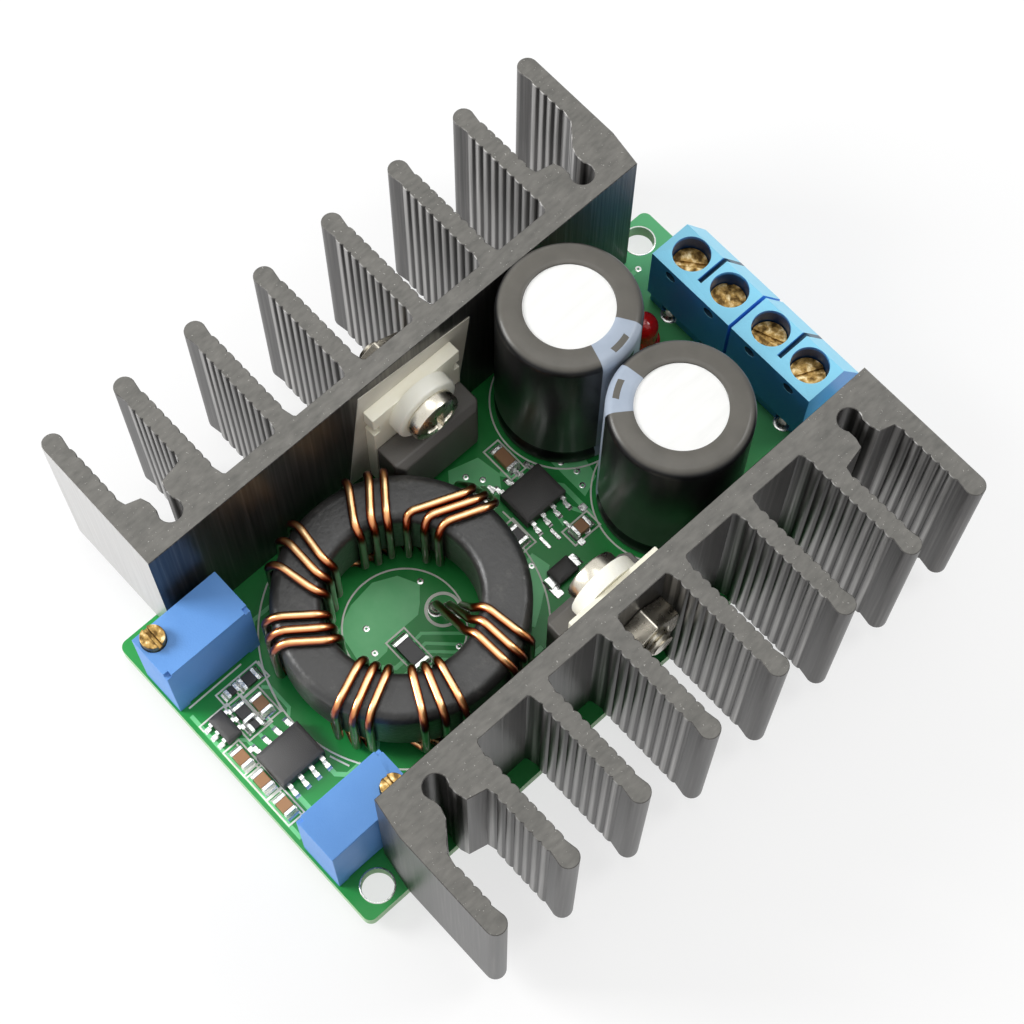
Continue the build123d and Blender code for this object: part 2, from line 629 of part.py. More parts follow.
def terminal_housing(block_number):
    """A two-pole housing with its screw wells, clamp chambers and wire entries."""
    middle = BLOCK_X[block_number]
    low, high = middle - BLOCK_WIDTH / 2, middle + BLOCK_WIDTH / 2
    back = BLOCK_BACK + BLOCK_UNDERCUT
    outline = [
        (back, 0), (BLOCK_FRONT, 0), (BLOCK_FRONT, BLOCK_NOSE),
        (BLOCK_BACK + BLOCK_TOP_DEPTH, BLOCK_HEIGHT), (BLOCK_BACK, BLOCK_HEIGHT),
        (BLOCK_BACK, BLOCK_UNDERCUT_HEIGHT), (back, BLOCK_UNDERCUT_HEIGHT),
    ]
    section = make_face(Plane.YZ * Polyline(*outline, close=True))
    housing = Pos(low, 0, 0) * extrude(section, BLOCK_WIDTH)
    for x in terminal_poles(block_number):
        housing -= rod(x, WELL_Y, WELL_RADIUS, HEAD_SEAT, BLOCK_HEIGHT + 1)
        bore = CLAMP_SHANK_RADIUS + CLEAR
        housing -= faceted_bore(x, WELL_Y, bore, CHAMBER_TOP - CLEAR, HEAD_SEAT + CLEAR)
        half = CHAMBER_WIDTH / 2
        far = CHAMBER_Y + CHAMBER_DEPTH
        housing -= block(x - half, x + half, CHAMBER_Y, far, CHAMBER_FLOOR, CHAMBER_TOP)
        half = ENTRY_WIDTH / 2
        housing -= block(x - half, x + half, far, BLOCK_FRONT + 1, ENTRY_BOTTOM, ENTRY_TOP)
        half = CONTACT_WIDTH / 2 + CLEAR
        near = CHAMBER_Y - CONTACT_THICKNESS - CLEAR
        top = CONTACT_UNDERSIDE + CONTACT_THICKNESS + CLEAR
        housing -= block(x - half, x + half, near, CHAMBER_Y, BLOCK_UNDERCUT_HEIGHT, top)
        housing -= block(x - half, x + half, BLOCK_BACK, CHAMBER_Y, -1, BLOCK_UNDERCUT_HEIGHT)
        dimple = extrude(RegularPolygon(DIMPLE_RADIUS, 8), 2 * DIMPLE_DEPTH)
        housing -= Pos(x, BLOCK_BACK + DIMPLE_DEPTH, DIMPLE_HEIGHT) * Rot(90, 0, 0) * dimple
    rib = RIB_SLOT / 2
    housing -= block(
        middle - rib, middle + rib, BLOCK_BACK + RIB_SLOT_BACK, BLOCK_FRONT + 1,
        BLOCK_HEIGHT - RIB_SLOT_DEPTH, BLOCK_HEIGHT + 1,
    )
    return housing


def clamp_screw(x, turn):
    """A slotted clamp screw, held between its seat and the fixed contact."""
    foot = CONTACT_UNDERSIDE + CONTACT_THICKNESS + CLEAR
    seat = HEAD_SEAT + CLEAR
    top = seat + CLAMP_HEAD
    screw = faceted_rod(0, 0, CLAMP_SHANK_RADIUS, foot, seat + CLAMP_HEAD / 2)
    screw += rod(0, 0, CLAMP_HEAD_RADIUS, seat, top)
    half = CLAMP_SLOT / 2
    reach = CLAMP_HEAD_RADIUS + 1
    screw -= block(-reach, reach, -half, half, top - CLAMP_SLOT_DEPTH, top + 1)
    return Pos(x, WELL_Y) * Rot(0, 0, turn) * screw


def clamp_cage(x):
    """The rising cage that pulls the wire up against the fixed contact."""
    half = CHAMBER_WIDTH / 2 - CLEAR
    near = CHAMBER_Y + CLEAR
    far = near + CAGE_DEPTH
    low = CHAMBER_FLOOR + CLEAR
    high = low + CAGE_HEIGHT
    cage = block(x - half, x + half, near, far, low, high)
    inner = half - CAGE_WALL
    cage -= block(x - inner, x + inner, near - 1, far + 1, low + CAGE_WALL, high - CAGE_ROOF)
    return cage - faceted_bore(x, WELL_Y, CLAMP_SHANK_RADIUS + CLEAR, high - CAGE_ROOF - CLEAR, high + 1)


def fixed_contact(x):
    """The strip above the wire, bent down behind the chamber into the soldered pin."""
    back = CHAMBER_Y - CONTACT_THICKNESS
    top = CONTACT_UNDERSIDE + CONTACT_THICKNESS
    half = CONTACT_WIDTH / 2
    pin = CONTACT_PIN_WIDTH / 2
    contact = block(x - half, x + half, back, back + CONTACT_LENGTH, CONTACT_UNDERSIDE, top)
    contact += block(x - half, x + half, back, CHAMBER_Y, CHAMBER_FLOOR, top)
    return contact + block(x - pin, x + pin, back, CHAMBER_Y, TAIL_END, CHAMBER_FLOOR)


def trimmer_body():
    """The sealed housing, on two feet, with the seat of the adjusting screw."""
    long, wide = TRIMMER_LENGTH / 2, TRIMMER_WIDTH / 2
    body = block(-wide, wide, -long, long, 0, TRIMMER_HEIGHT)
    open_end = long - TRIMMER_FOOT_LENGTH
    body -= block(-wide - 1, wide + 1, -open_end, open_end, -1, TRIMMER_FOOT)
    for end in (-1, 1):
        y = end * (long - TRIMMER_NOTCH / 2)
        half = TRIMMER_NOTCH / 2 + CLEAR
        top = TRIMMER_HEIGHT - TRIMMER_NOTCH
        body -= block(wide - TRIMMER_NOTCH, wide + 1, y - half, y + half, top, TRIMMER_HEIGHT + 1)
    x, y = TRIMMER_SCREW_X, TRIMMER_SCREW_Y
    seat = TRIMMER_HEIGHT - TRIMMER_SCREW_SEAT
    end = seat - TRIMMER_SHANK_LENGTH - MATING_GAP
    body -= rod(x, y, TRIMMER_SCREW_RADIUS + CLEAR, seat, TRIMMER_HEIGHT + 1)
    return body - faceted_bore(x, y, TRIMMER_SHANK_RADIUS + CLEAR, end, seat + CLEAR)


def trimmer_screw():
    """The slotted brass screw that turns the wiper."""
    x, y = TRIMMER_SCREW_X, TRIMMER_SCREW_Y
    seat = TRIMMER_HEIGHT - TRIMMER_SCREW_SEAT + CLEAR
    top = TRIMMER_HEIGHT + TRIMMER_SCREW_RISE
    screw = rod(x, y, TRIMMER_SCREW_RADIUS, seat, top)
    screw += faceted_rod(x, y, TRIMMER_SHANK_RADIUS, seat - TRIMMER_SHANK_LENGTH, seat + CLEAR)
    half = TRIMMER_SLOT / 2
    reach = TRIMMER_SCREW_RADIUS + 1
    low = top - TRIMMER_SLOT_DEPTH
    return screw - block(x - reach, x + reach, y - half, y + half, low, top + 1)


def trimmer_pins():
    """The three pins in line under the housing."""
    places = [number * LEAD_PITCH for number in (-1, 0, 1)]
    return [faceted_rod(0, y, TRIMMER_PIN_RADIUS, TAIL_END, TRIMMER_FOOT) for y in places]


def lamp_lens():
    """The moulded lamp with its flange."""
    flange_top = LAMP_STANDOFF + LAMP_FLANGE
    lens = rod(LAMP_X, LAMP_Y, LAMP_FLANGE_RADIUS, LAMP_STANDOFF, flange_top)
    return lens + rod(LAMP_X, LAMP_Y, LAMP_RADIUS, flange_top, LAMP_HEIGHT)


def lamp_leads():
    """The lamp's two leads."""
    places = [LAMP_X + side * LEAD_PITCH / 2 for side in (-1, 1)]
    return [faceted_rod(x, LAMP_Y, LAMP_LEAD_RADIUS, TAIL_END, LAMP_STANDOFF) for x in places]


def chip_case(width, length, height):
    """A moulded chip case with its upper edges bevelled."""
    case = block(-width / 2, width / 2, -length / 2, length / 2, CHIP_STANDOFF, height)
    return chamfer(case.faces().sort_by(Axis.Z)[-1].edges(), CHIP_BEVEL / 2, CHIP_BEVEL)


def gull_lead(width, span):
    """One bent lead on the +X side of a chip whose middle is at X = 0."""
    outer = span / 2
    case_side = width / 2
    inner = outer - (outer - case_side) * GULL_FOOT_SHARE
    top, under = GULL_SHOULDER, GULL_SHOULDER - GULL_THICKNESS
    outline = [
        (outer, 0), (outer, GULL_THICKNESS), (inner, GULL_THICKNESS), (inner, top),
        (case_side, top), (case_side, under), (inner - GULL_THICKNESS, under),
        (inner - GULL_THICKNESS, 0),
    ]
    face = make_face(Plane.XZ * Polyline(*outline, close=True))
    return Pos(0, GULL_WIDTH / 2, 0) * extrude(face, GULL_WIDTH)


def gull_leads(width, span, pitch, count):
    """Both rows of bent leads of one chip."""
    leads = []
    for number in range(count):
        offset = (number - (count - 1) / 2) * pitch
        for turn in (0, 180):
            leads.append(Rot(0, 0, turn) * Pos(0, offset) * gull_lead(width, span))
    return leads


def chip_pieces(items, height):
    """The ceramic bodies of small two-ended chips, and their metal ends."""
    bodies, ends = [], []
    for x, y, length, width, turn in items:
        place = Pos(x, y) * Rot(0, 0, turn)
        half, wide = length / 2, width / 2
        bodies.append(place * block(CHIP_END - half, half - CHIP_END, -wide, wide, 0, height))
        ends.append(place * block(-half, CHIP_END - half, -wide, wide, 0, height))
        ends.append(place * block(half - CHIP_END, half, -wide, wide, 0, height))
    return bodies, ends


def diode_tabs():
    """The soldered ends of the small diode, along Y."""
    half = DIODE_TAB_WIDTH / 2
    near = DIODE_LENGTH / 2
    far = near + DIODE_TAB_LENGTH
    height = GULL_SHOULDER / 2
    return [block(-half, half, near, far, 0, height), block(-half, half, -far, -near, 0, height)]


def placed_points(x, y, turn, points):
    """Points of a piece in its own frame, turned and moved to its place on the board."""
    c, s = cos(radians(turn)), sin(radians(turn))
    return [(x + c * px - s * py, y + s * px + c * py) for px, py in points]


def lead_places():
    """Each lead's hole in the board: x, y and the radius that the lead needs."""
    flat_lead = hypot(LEAD_WIDTH, LEAD_THICKNESS) / 2
    flat_pin = hypot(CONTACT_PIN_WIDTH, CONTACT_THICKNESS) / 2
    row = [(0, number * LEAD_PITCH) for number in (-1, 0, 1)]
    pair = [(-CAN_LEAD_PITCH / 2, 0), (CAN_LEAD_PITCH / 2, 0)]
    places = [(side * LEAD_X, MIDDLE_Y + y, flat_lead) for side in (-1, 1) for _, y in row]
    for number in range(len(BLOCK_X)):
        places += [(x, PIN_Y, flat_pin) for x in terminal_poles(number)]
    for x, y, turn in CAPACITORS:
        places += [(*point, CAN_LEAD_RADIUS) for point in placed_points(x, y, turn, pair)]
    for x, y, turn in TRIMMERS:
        places += [(*point, TRIMMER_PIN_RADIUS) for point in placed_points(x, y, turn, row)]
    places += [(LAMP_X + side * LEAD_PITCH / 2, LAMP_Y, LAMP_LEAD_RADIUS) for side in (-1, 1)]
    return places


def slot_outline(slot):
    """A winding slot, with room round its three strands."""
    x, y, turn = slot
    width = 2 * (WIRE_RADIUS + LEAD_CLEAR)
    return Pos(x, y) * Rot(0, 0, turn) * Rectangle(width + 2 * END_PITCH, width)


def circuit_board():
    """The board, with its mounting holes, lead holes and winding slots."""
    middle = (BOARD_NEAR + BOARD_FAR) / 2
    outline = Pos(BOARD_SHIFT, middle) * RectangleRounded(BOARD_WIDTH, BOARD_LENGTH, BOARD_CORNER)
    for x, y in mounting_holes():
        outline -= Pos(x, y) * Circle(MOUNT_HOLE_RADIUS)
    for x, y, radius in lead_places():
        hole = RegularPolygon(radius + LEAD_CLEAR, HOLE_SIDES, major_radius=False)
        outline -= Pos(x, y) * hole
    for slot in (START_SLOT, FINISH_SLOT):
        outline -= slot_outline(slot)
    return Pos(0, 0, -BOARD_THICKNESS) * extrude(outline, BOARD_THICKNESS)


def mounting_holes():
    """The two screw holes, at opposite corners."""
    return [
        (BOARD_RIGHT - MOUNT_HOLE_INSET_X, BOARD_NEAR + MOUNT_HOLE_INSET_Y),
        (BOARD_LEFT + MOUNT_HOLE_INSET_X, BOARD_FAR - MOUNT_HOLE_INSET_Y),
    ]


def placed(pieces, x, y, turn=0):
    """Pieces made about their own upright axis, turned and moved to their place."""
    return [Pos(x, y) * Rot(0, 0, turn) * piece for piece in pieces]


def clamping_nodes():
    """Both transistors with what insulates and clamps them."""
    nodes = {}
    pair = (("left", half_turn), ("right", lambda piece: piece))
    for (side, turned_to), tilt in zip(pair, FILM_TILTS):
        nodes[f"transistor_{side}_case"] = [turned_to(transistor_case())]
        nodes[f"transistor_{side}_tab"] = [turned_to(transistor_tab())]
        nodes[f"transistor_{side}_leads"] = [turned_to(lead) for lead in transistor_leads()]
        nodes[f"insulating_film_{side}"] = [turned_to(insulating_film(tilt))]
        nodes[f"heatsink_{side}"] = [turned_to(heatsink())]
    fasteners = {
        "insulating_bushes": insulating_bush, "clamping_screws": clamping_screw,
        "clamping_nuts": clamping_nut,
    }
    for name, make in fasteners.items():
        nodes[name] = [half_turn(make()), make()]
    return nodes


def terminal_nodes():
    """Both terminal blocks, with their screws and cages numbered from the left."""
    nodes = {"terminal_contacts": []}
    number = 0
    for block_number, side in enumerate(("left", "right")):
        nodes[f"terminal_{side}_housing"] = [terminal_housing(block_number)]
        for x in terminal_poles(block_number):
            nodes[f"clamp_screw_{number + 1}"] = [clamp_screw(x, CLAMP_TURN[number])]
            nodes[f"clamp_cage_{number + 1}"] = [clamp_cage(x)]
            nodes["terminal_contacts"].append(fixed_contact(x))
            number += 1
    return nodes


def standing_nodes():
    """The capacitors, trimmers and lamp, whose leads pass the board."""
    nodes = {}
    for side, place in zip(("left", "right"), CAPACITORS):
        nodes[f"capacitor_{side}_body"] = placed([capacitor_body()], *place)
        nodes[f"capacitor_{side}_leads"] = placed(capacitor_leads(), *place)
    for side, place in zip(("left", "right"), TRIMMERS):
        nodes[f"trimmer_{side}_body"] = placed([trimmer_body()], *place)
        nodes[f"trimmer_{side}_screw"] = placed([trimmer_screw()], *place)
        nodes[f"trimmer_{side}_pins"] = placed(trimmer_pins(), *place)
    nodes["lamp_lens"] = [lamp_lens()]
    nodes["lamp_leads"] = lamp_leads()
    return nodes


def surface_nodes():
    """The pieces soldered flat on the board."""
    nodes = {}
    for name, place in CHIPS.items():
        leads = gull_leads(CHIP_WIDTH, GULL_SPAN, GULL_PITCH, GULL_COUNT)
        nodes[f"{name}_case"] = placed([chip_case(CHIP_WIDTH, CHIP_LENGTH, CHIP_HEIGHT)], *place)
        nodes[f"{name}_leads"] = placed(leads, *place)
    place = (SMALL_CHIP_X, SMALL_CHIP_Y, 90)
    case = chip_case(SMALL_CHIP_WIDTH, SMALL_CHIP_LENGTH, SMALL_CHIP_HEIGHT)
    leads = gull_leads(SMALL_CHIP_WIDTH, SMALL_GULL_SPAN, SMALL_GULL_PITCH, SMALL_GULL_COUNT)
    nodes["small_chip_case"] = placed([case], *place)
    nodes["small_chip_leads"] = placed(leads, *place)
    case = chip_case(DIODE_WIDTH, DIODE_LENGTH, DIODE_HEIGHT)
    nodes["diode_case"] = placed([case], DIODE_X, DIODE_Y)
    nodes["diode_tabs"] = placed(diode_tabs(), DIODE_X, DIODE_Y)
    nodes["resistor_bodies"], nodes["resistor_ends"] = chip_pieces(RESISTORS, RESISTOR_HEIGHT)
    bodies, ends = chip_pieces(CERAMIC_CAPACITORS, CERAMIC_HEIGHT)
    nodes["ceramic_bodies"], nodes["ceramic_ends"] = bodies, ends
    return nodes


def all_nodes():
    """Every node's name with its separate pieces, in the frame of the named values."""
    nodes = {"circuit_board": [circuit_board()], "choke_core": [choke_core()]}
    for strand in range(len(STRAND_TURNS)):
        nodes[f"choke_strand_{strand + 1}"] = [choke_strand(strand)]
    return nodes | clamping_nodes() | terminal_nodes() | standing_nodes() | surface_nodes()


def main():
    """Write each node in the module's own frame: origin under its middle, on the table."""
    os.makedirs("parts", exist_ok=True)
    for name, pieces in all_nodes().items():
        shifted = [Pos(0, SHIFT_Y, SHIFT_Z) * piece for piece in pieces]
        solids = [solid for piece in shifted for solid in piece.solids()]
        export_step(Compound(children=solids), f"parts/{name}.step")


main()
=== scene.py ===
# %% [markdown]
# Boost converter module: the looks.
# The solids come packed from the part's own source. This file dresses them in Blender: it
# sets up a camera and a studio, writes one finish per material, keeps the solids whose
# shape is right, and works out with numpy the shapes that a flat-sided solid only hints at,
# such as the rippled fins and the round copper wires.

import json
from math import cos, pi, radians, sin

import bmesh
import bpy
import numpy as np
from mathutils import Matrix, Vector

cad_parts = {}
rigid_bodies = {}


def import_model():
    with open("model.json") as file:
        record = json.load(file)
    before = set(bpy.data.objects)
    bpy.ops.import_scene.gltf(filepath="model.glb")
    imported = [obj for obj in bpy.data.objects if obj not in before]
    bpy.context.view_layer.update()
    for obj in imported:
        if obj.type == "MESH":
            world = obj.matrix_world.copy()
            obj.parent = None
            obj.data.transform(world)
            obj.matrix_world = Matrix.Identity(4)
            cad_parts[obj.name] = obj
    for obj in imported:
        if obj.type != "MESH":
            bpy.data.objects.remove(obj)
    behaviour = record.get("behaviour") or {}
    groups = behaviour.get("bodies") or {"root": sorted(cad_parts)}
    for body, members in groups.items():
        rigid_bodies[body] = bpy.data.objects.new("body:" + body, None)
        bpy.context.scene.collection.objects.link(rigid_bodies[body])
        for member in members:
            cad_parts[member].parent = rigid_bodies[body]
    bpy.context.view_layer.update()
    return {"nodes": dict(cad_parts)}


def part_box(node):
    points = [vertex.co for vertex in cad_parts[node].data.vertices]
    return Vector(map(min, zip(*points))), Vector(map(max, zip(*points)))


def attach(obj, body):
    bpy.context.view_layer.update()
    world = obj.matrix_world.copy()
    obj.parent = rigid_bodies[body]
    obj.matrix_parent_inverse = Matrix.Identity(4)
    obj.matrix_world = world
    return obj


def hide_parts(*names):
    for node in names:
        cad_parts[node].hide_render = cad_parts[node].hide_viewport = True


for thing in list(bpy.data.objects):
    bpy.data.objects.remove(thing)
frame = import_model()

# %% [markdown]
# Every length below is in millimetres on the board's own plan: X is 0 midway between the
# heatsinks, Y is 0 at the heatsinks' near end, and Z is 0 on the board's top face. The packed
# model has its origin under the middle of the board, in metres, so one helper moves arrays
# of points from the plan to the model, and every shape is written in the plain plan.

# %% The board plan
PLAN_ORIGIN = np.array([0.0, -29.425, 2.8])
MM = 0.001


def to_model(points):
    """Plan millimetres to model metres: the plan's origin is added, then the scale."""
    return (np.asarray(points, float) + PLAN_ORIGIN) * MM


board_box = [np.array(corner) / MM - PLAN_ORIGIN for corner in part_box("circuit_board")]
print("board in plan:", *(corner.round(2) for corner in board_box))

# %% [markdown]
# The camera stands where the photographer stood: high above the trimmers' end, turned 46
# degrees round the module and some 22 centimetres away, so that parallel edges run together
# a little. Its place and lens were fitted to corners of standard parts in the photograph.
# The view axes are worked out from azimuth, elevation and roll.

# %% Camera
AZIMUTH, ELEVATION, ROLL = radians(46.336), radians(68.611), radians(1.043)
DISTANCE, FOCUS = 220.822, 2337.64
AIM = np.array([-2.318, 31.222, 0.0])
FRAME_SIZE, SENSOR = 1024, 36.0
UPWARD = (0, 0, 1)


def unit(vectors):
    """A vector, or each row of an array of them, at a length of 1."""
    return vectors / np.maximum(np.linalg.norm(vectors, axis=-1, keepdims=True), 1e-9)


def stand(name, data, axes, place):
    """A camera or lamp at a place in the plan, from its axes to the right, up and back."""
    matrix = np.eye(4)
    matrix[:3, :3], matrix[:3, 3] = np.transpose(axes), to_model(place)
    thing = bpy.data.objects.new(name, data)
    thing.matrix_world = Matrix(matrix.tolist())
    bpy.context.scene.collection.objects.link(thing)
    return thing


backward = np.array([
    sin(AZIMUTH) * cos(ELEVATION), -cos(AZIMUTH) * cos(ELEVATION), sin(ELEVATION),
])
level = unit(np.cross(UPWARD, backward))
upright = np.cross(backward, level)
right = cos(ROLL) * level + sin(ROLL) * upright
up = cos(ROLL) * upright - sin(ROLL) * level

eye = bpy.data.cameras.new("photo_camera")
eye.sensor_width, eye.lens = SENSOR, FOCUS / FRAME_SIZE * SENSOR
eye.clip_start, eye.clip_end = 0.005, 10.0
camera = stand("photo_camera", eye, (right, up, backward), AIM + backward * DISTANCE)
bpy.context.scene.camera = camera
bpy.context.scene.view_settings.view_transform = "Standard"
print("lens", round(eye.lens, 2), "mm, at", DISTANCE, "mm from its aim")

# %% [markdown]
# Shader maths is easier to read as arithmetic than as a web of boxes. A small class wraps
# one socket: adding, multiplying or comparing two of them puts a Math node in the tree. A
# second class holds a tree and has a single method for every node, and a third adds what a
# material needs. Two functions give the finishes that most of the small parts share.

# %% Shader arithmetic
OBJECT_PLACE, OBJECT_NORMAL = 3, 1  # outputs of the Texture Coordinate node


def operator(operation, swapped=False):
    """A method that puts the Math node of this name after a signal and its partner."""
    def method(self, *other):
        return self.graph.maths(operation, *((*other, self) if swapped else (self, *other)))
    return method


class Signal:
    """One output socket of a shader tree, with Python's operators on it."""

    def __init__(self, graph, socket):
        self.graph, self.socket = graph, socket

    __add__ = __radd__ = operator("ADD")
    __mul__ = __rmul__ = operator("MULTIPLY")
    __sub__, __rsub__ = operator("SUBTRACT"), operator("SUBTRACT", swapped=True)
    __truediv__, __abs__ = operator("DIVIDE"), operator("ABSOLUTE")
    __gt__, __lt__ = operator("GREATER_THAN"), operator("LESS_THAN")


def colour(shade):
    """A screen colour of 0 to 255 as the linear light values that a shader wants. A signal
    stays as it is."""
    if isinstance(shade, Signal):
        return shade
    screen = np.array(shade) / 255
    linear = np.where(screen <= 0.04045, screen / 12.92, ((screen + 0.055) / 1.055) ** 2.4)
    return (*linear.tolist(), 1.0)


class Graph:
    """A shader node tree."""

    def __init__(self, tree):
        self.tree = tree

    def node(self, kind, values=(), output=0, **settings):
        """Adds a node with these settings, and fills its sockets by order or by name."""
        box = self.tree.nodes.new("ShaderNode" + kind)
        for key, setting in settings.items():
            setattr(box, key, setting)
        for key, value in values.items() if isinstance(values, dict) else enumerate(values):
            self.feed(box.inputs[key], value)
        return Signal(self, box.outputs[output])

    def maths(self, operation, *values):
        """The Math node of this name, with these values in order."""
        return self.node("Math", values, operation=operation)

    def feed(self, socket, value):
        """Links a signal to a socket, or sets the socket's own value."""
        if isinstance(value, Signal):
            self.tree.links.new(value.socket, socket)
        else:
            socket.default_value = value

    def white_where_seen(self, lit):
        """Strength 1 for camera, glossy and transmission rays, otherwise the value given."""
        rays = self.node("LightPath").socket.node.outputs
        camera_ray, glossy_ray, through_ray = (
            Signal(self, rays[f"Is {kind} Ray"]) for kind in ("Camera", "Glossy", "Transmission"))
        seen = self.maths("MAXIMUM", camera_ray, self.maths("MAXIMUM", glossy_ray, through_ray))
        return self.node("MapRange", {"Value": seen, "To Min": lit})


class Finish(Graph):
    """A material: a Principled shader and what feeds it. It stores a slot name: its own name,
    unless another is given."""

    def __init__(self, name, slot=None, **constants):
        self.slot = slot or name
        self.material = bpy.data.materials.new(name)
        self.material.use_nodes = True
        super().__init__(self.material.node_tree)
        self.shader = self.tree.nodes["Principled BSDF"]
        self.set(**constants)

    def set(self, **inputs):
        """Feeds sockets of the Principled shader."""
        for name, value in inputs.items():
            self.feed(self.shader.inputs[name.replace("_", " ")], value)
        return self

    def place(self, centre=(0, 0, 0), stretch=(1, 1, 1)):
        """The point on the object in plan millimetres from a centre, scaled by axis."""
        spot = self.node("TexCoord", output=OBJECT_PLACE)
        moved = self.node("VectorMath", [spot, to_model(centre).tolist()], operation="SUBTRACT")
        scale = [value / MM for value in stretch]
        return self.node("VectorMath", [moved, scale], operation="MULTIPLY")

    def axes(self, vector):
        """The three numbers of a vector as separate signals."""
        apart = self.node("SeparateXYZ", [vector])
        return [Signal(self, socket) for socket in apart.socket.node.outputs]

    def facing(self):
        """The three numbers of the surface's normal on the object."""
        return self.axes(self.node("TexCoord", output=OBJECT_NORMAL))

    def distance(self, x, y):
        """How far two numbers reach together: the root of the sum of their squares."""
        return self.maths("SQRT", x * x + y * y)

    def noise(self, scale=1.0, detail=3.0, stretch=(1, 1, 1), rough=0.5):
        """Noise of 0 to 1 whose features measure about 1 / scale millimetres."""
        return self.node("TexNoise", {"Vector": self.place(stretch=stretch), "Scale": scale,
                                      "Detail": detail, "Roughness": rough})

    def ramp(self, signal, *stops):
        """A colour ramp over a signal, from pairs of position and screen colour."""
        ramped = self.node("ValToRGB", [signal])
        elements = ramped.socket.node.color_ramp.elements
        for number, (where, shade) in enumerate(stops):
            stop = elements[number] if number < 2 else elements.new(where)
            stop.position, stop.color = where, colour(shade)
        return ramped

    def mix(self, share, *shades):
        """Two screen colours or signals mixed by a share of 0 to 1. The Mix node has sockets
        for each kind of value: the share is the first, and its colours are 6 and 7."""
        first, second = map(colour, shades)
        return self.node("Mix", {0: share, 6: first, 7: second}, 2, data_type="RGBA")

    def step(self, signal, start, end):
        """A smooth step: 0 below the start, 1 past the end."""
        return self.node("MapRange", {"Value": signal, "From Min": start, "From Max": end},
                         interpolation_type="SMOOTHSTEP")

    def bump(self, height, depth):
        """Feeds a height of 0 to 1 to the shader's normal, as relief of so many mm."""
        return self.set(Normal=self.node(
            "Bump", {"Height": height, "Distance": depth * MM, "Strength": 1.0}))


def patchy(name, first, second, scale, detail, rough, gain=0.0, depth=0.0, **constants):
    """A finish of two shades in the patches of one noise, which also roughens by its gain
    and lifts the surface by so many millimetres."""
    finish = Finish(name, Roughness=rough, **constants)
    finish.patch = finish.noise(scale, detail)
    finish.set(Base_Color=finish.mix(finish.patch, first, second))
    if gain:
        finish.set(Roughness=rough + finish.patch * gain)
    return finish.bump(finish.patch, depth) if depth else finish


def plastic(name, first, second, rough=0.4, grain=1.5, depth=0.02, **constants):
    """Moulded plastic: two near shades in soft patches, with a fine moulded grain."""
    finish = patchy(name, first, second, 0.25, 3.0, rough, **constants)
    fine = finish.noise(grain * 4)
    return finish.set(Roughness=rough + (fine - 0.5) * 0.12).bump(fine, depth)


print("shader helpers ready")

# %% [markdown]
# A product photograph on white has light from everywhere, and broad soft lamps near the
# object. The key lamp, low at its left, gives the fins and the round things their shine, and
# two weaker ones fill in from above and from the far end. The world lights the object at
# under half strength and shows white to the camera and in reflections. The floor is a pale
# sheet that keeps a soft shadow.

# %% Studio
WORLD_LIGHT, FLOOR_GLOW, FLOOR_HALF = 0.45, 0.7, 3.0


world = bpy.data.worlds.new("white_room")
world.use_nodes = True
sky = Graph(world.node_tree)
background = sky.tree.nodes["Background"].inputs
sky.feed(background["Color"], (1, 1, 1, 1))
sky.feed(background["Strength"], sky.white_where_seen(WORLD_LIGHT))
bpy.context.scene.world = world


def softbox(name, place, aim, size, watts):
    """A square lamp at a place in the plan, turned to face its aim."""
    lamp = bpy.data.lights.new(name, "AREA")
    lamp.shape, lamp.size, lamp.energy = "SQUARE", size * MM, watts
    back = unit(np.subtract(place, aim))
    side = unit(np.cross(UPWARD, back))
    stand(name, lamp, (side, np.cross(back, side), back), place)


softbox("key_lamp", (-170, -130, 150), (0, 29, 5), 110, 0.62)
softbox("top_lamp", (-30, 60, 350), (0, 29, 5), 180, 0.18)
softbox("far_lamp", (90, 190, 200), (5, 50, 8), 100, 0.2)

square = np.array([(-1, -1, 0), (1, -1, 0), (1, 1, 0), (-1, 1, 0)]) * FLOOR_HALF
floor_mesh = bpy.data.meshes.new("floor")
floor_mesh.from_pydata(square.tolist(), [], [(0, 1, 2, 3)])
floor = bpy.data.objects.new("floor", floor_mesh)
bpy.context.scene.collection.objects.link(floor)
paper = patchy("floor_paper", (247, 247, 247), (251, 251, 250), 0.08, 2.0, 1.0,
               Specular_IOR_Level=0.0)
lit_paper = Signal(paper, paper.shader.outputs[0])
glow = paper.node("Emission", {"Strength": 1.0})
seen = paper.white_where_seen(0.0) * FLOOR_GLOW
paper.feed(paper.tree.nodes["Material Output"].inputs["Surface"],
           paper.node("MixShader", [seen, lit_paper, glow]))
floor_mesh.materials.append(paper.material)
print("studio ready: world", WORLD_LIGHT, "with three softboxes")

# %% [markdown]
# Most shapes here are a profile carried somewhere: round an axis, along a path, or up from
# an outline. Each helper works on whole arrays of points and returns points and faces. One
# more helper puts them into a mesh, merges what meets at seams and poles, and makes the
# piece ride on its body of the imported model.

# %% Grids and pieces
MERGE = 2e-7


def walled(grid, first=True, last=True):
    """A grid of points as a tube: its faces join each row to the next and run round it, and
    flat caps close the first and the last row."""
    rows, columns = grid.shape[:2]
    row, column = np.meshgrid(np.arange(rows - 1), np.arange(columns), indexing="ij")
    after = (column + 1) % columns
    corners = [row * columns + column, row * columns + after,
               (row + 1) * columns + after, (row + 1) * columns + column]
    faces = [tuple(face) for face in np.stack(corners, -1).reshape(-1, 4).tolist()]
    faces += [tuple(range(columns))[::-1]] * first
    faces += [tuple(range((rows - 1) * columns, rows * columns))] * last
    return grid.reshape(-1, 3), faces


